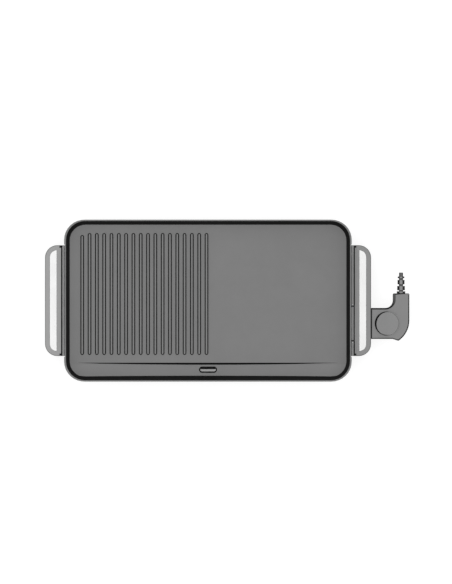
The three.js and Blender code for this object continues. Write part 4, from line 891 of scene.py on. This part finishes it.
def handle(side, sign, plastic, pocket_half, seal_shift, seal_half, seal_depth, seal_rubber):
    """A grip with rounded edges, a groove along the end strip and dark buffers at its ends; the
    dark buffers and the dark seals at the groove's bottom also stand in as painted shade for the
    pockets and the groove.
    """
    node, inlay_node = "handle_" + side, "handle_inlay_" + side
    body = BODY_OF[node]
    low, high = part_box(node)
    top_z = high.z
    grip = copy_of(node, "grip_" + side)
    inner_x = high.x if sign < 0 else low.x
    groove_x = inner_x + sign * SEAM_WIDTH / 2
    cut_down(grip, (inner_x, 0), SEAM_WIDTH / 2, high.y + CUTTER_RISE, top_z, SEAM_DEPTH)
    round_edges(grip, SEAM_ROUNDING, segments=5, wanted=lambda middle, one, other:
                middle.z > top_z - ON_TOP and abs(middle.x - groove_x) < ON_TOP)
    if side == "right":
        cut_down(grip, (inner_x + LINE_FROM_STRIP, 0), LINE_HALF, high.y - LINE_FROM_END,
                 top_z, LINE_DEPTH)
    for end, end_name in ((-1, "front"), (1, "rear")):
        pocket = (inner_x + sign * POCKET_FROM_STRIP, end * (high.y - POCKET_FROM_END))
        cut_down(grip, pocket, pocket_half, POCKET_HALF_Y, top_z, POCKET_DEPTH)
        # The buffers' dark rubber also stands in for the shade in the pockets.
        set_in("seam_buffer_%s_%s" % (side, end_name), pocket,
               pocket_half - BUFFER_SLIP, POCKET_HALF_Y - BUFFER_SLIP,
               top_z - BUFFER_BOTTOM, top_z - BUFFER_TOP, rounding=0.35 * MM,
               body=body, material=RUBBER)
    end_y = high.y - SEAL_END_GAP
    stretches = [(-end_y, end_y)]
    if side == "right":
        stretches = [(-end_y, SOCKET_LOW.y - SEAL_END_GAP),
                     (SOCKET_HIGH.y + SEAL_END_GAP, end_y)]
    # The seals close the groove's bottom; their dark rubber is painted shade for the groove.
    for number, (from_y, to_y) in enumerate(stretches, 1):
        set_in("seam_seal_%s_%d" % (side, number),
               (inner_x + sign * seal_shift, (from_y + to_y) / 2), seal_half,
               (to_y - from_y) / 2, top_z - SEAL_BOTTOM, top_z - seal_depth,
               rounding=0.3 * MM, body=body, material=seal_rubber)
    edge_height, past_groove = 3 * MM, 3 * MM
    round_edges(grip, width=0.45 * MM, segments=3, wanted=lambda middle, one, other:
                middle.z > top_z - edge_height
                and (middle.x - groove_x) * sign > past_groove)
    inlay = copy_of(inlay_node, "inlay_" + side)
    widen_inlay(inlay_node, grip, inlay)
    round_edges(inlay, width=0.2 * MM, segments=2)
    finish_piece(grip, node, plastic)
    finish_piece(inlay, inlay_node, INLAY)


def handles():
    handle("left", -1, HANDLE_LIT_LEFT, pocket_half=1.8 * MM, seal_shift=0.02 * MM,
           seal_half=0.87 * MM, seal_depth=10.5 * MM, seal_rubber=RUBBER)
    handle("right", 1, HANDLE_SHADED_RIGHT, pocket_half=1.4 * MM, seal_shift=-0.15 * MM,
           seal_half=1.05 * MM, seal_depth=8.5 * MM, seal_rubber=SEAM_SHADE_RUBBER)


# The heat control

DIAL_CLEARANCE = 22 * MM


def near_dial(x, y):
    return math.hypot(x - DIAL_X, y - DIAL_Y) < DIAL_CLEARANCE


def slant_flanks(shell):
    """Lowers the foot of the upper shell's chamfer, most of all along the arm's left flank."""
    top_z = SHELL_HIGH.z
    chamfer = 2.1 * MM
    body_start_x = SOCKET_HIGH.x + 0.7 * MM
    start_reach, start_shift = 2.2 * MM, 0.6 * MM
    body_rear_y, rear_reach = DIAL_Y + 26.55 * MM, 2.3 * MM
    arm_left_x, arm_reach = SHELL_HIGH.x - 28.1 * MM, 4.2 * MM
    fillet = 12.9 * MM
    end_reach, end_shift = 2.7 * MM, 1.3 * MM
    arm_run, body_run = 2.8 * MM, 0.7 * MM
    flank_drop, side_drop = 3.4 * MM, 2.0 * MM
    for corner in bmesh.from_edit_mesh(shell.data).verts:
        x, y, z = corner.co
        if z < top_z - chamfer or x < body_start_x - MM or near_dial(x, y):
            continue
        at_top = z > top_z - ON_TOP
        at_end = y > SHELL_HIGH.y - end_reach
        if at_top and x < body_start_x + start_reach:
            x -= start_shift
        rise = y - body_rear_y
        if rise > -rear_reach and x < arm_left_x + arm_reach:
            angle = 0.0
            if rise < fillet:
                angle = math.atan2(rise - fillet, x - (arm_left_x - fillet))
            arm_share = share_of(1 + angle / (math.pi / 2))
            if at_top:
                x += arm_run * arm_share
                y -= body_run * (1 - arm_share)
            else:
                z -= flank_drop
        elif at_top and at_end:
            y += end_shift
        elif not (at_top or at_end) and x > body_start_x + MM:
            z -= side_drop
        corner.co = (x, y, z)
    bmesh.update_edit_mesh(shell.data)


def heat_control():
    """The housing's upper half with a broad slanted flank along the arm, and its lower half."""
    upper_band = SHELL_HIGH.z - 8 * MM
    shell = copy_of("controller_upper_shell", "heat_control_upper")
    start_editing(shell, "VERT")
    slant_flanks(shell)
    stop_editing()
    round_edges(shell, width=0.4 * MM, segments=3, wanted=lambda middle, one, other:
                middle.z > upper_band and not near_dial(middle.x, middle.y))
    finish_piece(shell, "controller_upper_shell", CONTROL)
    lower_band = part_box("controller_lower_shell")[0].z + 3 * MM
    under = copy_of("controller_lower_shell", "heat_control_lower")
    round_edges(under, width=0.5 * MM, segments=3, wanted=lambda middle, one, other:
                middle.z < lower_band)
    finish_piece(under, "controller_lower_shell", CONTROL)


def dial():
    """A flat disc with a crescent scallop for the finger, set in a thin collar."""
    centre = (DIAL_X, DIAL_Y, 0)
    radius, bottom, top = DIAL_RADIUS, DIAL_LOW.z, DIAL_HIGH.z
    bore, bore_top = 3.3 * MM, bottom + 4 * MM
    flank_foot = top - 4.4 * MM
    face = top - 0.12 * MM
    axis = 0.01 * MM
    profile = [
        (bore, bottom), (radius - 0.6 * MM, bottom), (radius, bottom + 0.5 * MM),
        (radius, flank_foot), (radius - 0.75 * MM, top - 0.3 * MM), (radius - 1.0 * MM, top),
        (radius - 5.0 * MM, top), (radius - 5.6 * MM, face), (0.6 * MM, face), (axis, face),
        (axis, bore_top), (bore, bore_top),
    ]
    scallop_depth, scallop_height, scallop_width = 2.1 * MM, 0.35 * MM, 1.5 * MM
    disc = spun("dial_disc", profile, centre)
    for corner in disc.data.vertices:
        x, y = corner.co.x - DIAL_X, corner.co.y - DIAL_Y
        reach = math.hypot(x, y)
        if corner.co.z < top - scallop_height or reach < radius - scallop_width:
            continue
        share = max(0.0, math.cos(math.atan2(y, x) - DIAL_SCALLOP)) ** 2
        shrink = (reach - scallop_depth * share) / reach
        corner.co.x = DIAL_X + x * shrink
        corner.co.y = DIAL_Y + y * shrink
    finish_piece(disc, "temperature_dial", DIAL_SKIN, degrees=40)
    inner, outer, ease = 20.56 * MM, 21.17 * MM, 0.04 * MM
    collar_low, collar_top = SHELL_HIGH.z - 1.99 * MM, SHELL_HIGH.z - 0.02 * MM
    collar_profile = [
        (inner, collar_low), (outer, collar_low), (outer, collar_top - ease),
        (outer - ease, collar_top), (inner + ease, collar_top), (inner, collar_top - ease),
    ]
    collar = spun("dial_collar", collar_profile, centre)
    # The collar takes the dial's skin, whose painted lit side offsets the shade round the raised
    # dial.
    finish_extra(collar, BODY_OF["controller_upper_shell"], DIAL_SKIN,
                 degrees=40)


def bend_relief():
    """Rings of soft rubber on a core, open at the tip. The measures are in millimetres."""
    bore, neck, core = 2.65, 4.5, 3.45
    flange_radius, flange_end = 7.0, 3.0
    housing_wall, clearance = 2.2, 0.35
    foot = flange_end + housing_wall + clearance
    tip, tip_ease = 41.3, 0.4
    ease = 0.3
    rings = ((7.25, foot, 9.1), (6.6, 10.9, 18.2), (6.0, 21.1, 28.6), (5.7, 31.5, 34.5))
    profile = [(bore, 0), (flange_radius, 0), (flange_radius, flange_end), (neck, flange_end),
               (neck, foot)]
    for radius, start, end in rings:
        if start > foot:
            profile += [(core, start - ease), (core + ease, start)]
        profile += [(radius - ease, start), (radius, start + ease), (radius, end - ease),
                    (radius - ease, end), (core + ease, end), (core, end + ease)]
    profile += [(core, tip - tip_ease), (core - tip_ease, tip), (bore, tip)]
    relief = spun("bend_relief", [(radius * MM, height * MM) for radius, height in profile],
                  (RELIEF_X, RELIEF_LOW.y, RELIEF_Z), turn_to_y=True)
    finish_piece(relief, "cord_bend_relief", RELIEF, degrees=50)


# The base

# The end strips' two edges, from the plate's end, and the shadow gaps that run along them
STRIP_INNER, STRIP_OUTER = 0.4 * MM, 5.4 * MM
SHADOW_GAPS = (
    (-1, STRIP_INNER, 0.55 * MM), (-1, STRIP_OUTER, 0.7 * MM),
    (1, STRIP_INNER, 0.55 * MM), (1, STRIP_OUTER, 0.85 * MM),
)
GAP_DEPTH = 9 * MM
JOINT_X = PLATE_HIGH.x + 3.35 * MM
PIN_X = PLATE_HIGH.x + 2.8 * MM
PIN_FROM_JOINT = 2.75 * MM


def strip_edge_x(sign, edge):
    return PLATE_X + sign * (PLATE_HALF_X + edge)


def socket_joints(moulding, socket):
    """The joints between the base and the socket sleeve, each with a rubber seal."""
    for end_name, joint_y in (("front", SOCKET_LOW.y), ("rear", SOCKET_HIGH.y)):
        centre = (JOINT_X, joint_y)
        for piece in (moulding, socket):
            cut_down(piece, centre, half_x=3.05 * MM, half_y=1.05 * MM,
                     top_z=STRIP_Z, depth=6 * MM)
        set_in("joint_seal_" + end_name, centre, half_x=2.85 * MM, half_y=0.98 * MM,
               bottom_z=STRIP_Z - 5.95 * MM, top_z=STRIP_Z - 2.2 * MM, rounding=0.3 * MM,
               body=BODY_OF["base_frame"], material=RUBBER)


def socket_pins(moulding):
    """Two small pins beside the socket's joints, pale as a painted highlight for two glints."""
    for end_name, pin_y in (("front", SOCKET_LOW.y - PIN_FROM_JOINT),
                            ("rear", SOCKET_HIGH.y + PIN_FROM_JOINT)):
        centre = (PIN_X, pin_y)
        cut_down(moulding, centre, half_x=1.0 * MM, half_y=0.85 * MM,
                 top_z=STRIP_Z, depth=1 * MM)
        set_in("strip_pin_" + end_name, centre, half_x=0.95 * MM, half_y=0.8 * MM,
               bottom_z=STRIP_Z - 0.98 * MM, top_z=STRIP_Z + 0.05 * MM, rounding=0.12 * MM,
               body=BODY_OF["base_frame"], material=PAINTED_GLINT_NYLON)


def socket_grooves(socket):
    """The socket's share of the inner shadow gap, and a dark rubber gasket beside the grip as
    painted shade for the seam there.
    """
    middle_y = (SOCKET_LOW.y + SOCKET_HIGH.y) / 2
    half_y = (SOCKET_HIGH.y - SOCKET_LOW.y) / 2
    gap = (strip_edge_x(1, STRIP_INNER), middle_y)
    seat = (strip_edge_x(1, STRIP_OUTER), middle_y)
    cut_down(socket, gap, 0.6 * MM, half_y + CUTTER_RISE, top_z=STRIP_Z, depth=2 * MM)
    cut_down(socket, seat, 0.88 * MM, half_y + CUTTER_RISE, top_z=STRIP_Z, depth=1.5 * MM)
    gasket = block("socket_gasket", seat, 0.8 * MM, half_y - 1.2 * MM,
                   bottom_z=STRIP_Z - 1.48 * MM, top_z=STRIP_Z - 0.7 * MM)
    round_edges(gasket, width=0.2 * MM, segments=2)
    finish_extra(gasket, BODY_OF["socket_frame"], RUBBER)


def base():
    """The moulded base, its tray and the socket sleeve with eased edges."""
    moulding = copy_of("base_frame", "base_moulding")
    socket = copy_of("socket_frame", "socket_sleeve")
    for sign, edge, half_x in SHADOW_GAPS:
        cut_down(moulding, (strip_edge_x(sign, edge), 0), half_x, PLATE_HALF_Y,
                 top_z=STRIP_Z, depth=GAP_DEPTH)
    socket_joints(moulding, socket)
    socket_pins(moulding)
    socket_grooves(socket)
    round_edges(moulding, width=0.35 * MM, segments=2)
    finish_piece(moulding, "base_frame", BASE)
    tray = copy_of("drip_tray", "tray_moulding")
    round_edges(tray, width=0.4 * MM, segments=2)
    finish_piece(tray, "drip_tray", TRAY_SKIN)
    round_edges(socket, width=0.5 * MM, segments=2)
    finish_piece(socket, "socket_frame", BASE)


def carried_over_nodes():
    """The nodes that keep their own shape get their finish."""
    for name, node in NODES.items():
        if node.hide_render:
            continue
        node.data.materials.clear()
        node.data.materials.append(FINISHES[SLOTS[name]])


camera_and_light()
floor()
cooking_plate()
handles()
heat_control()
dial()
bend_relief()
base()
carried_over_nodes()
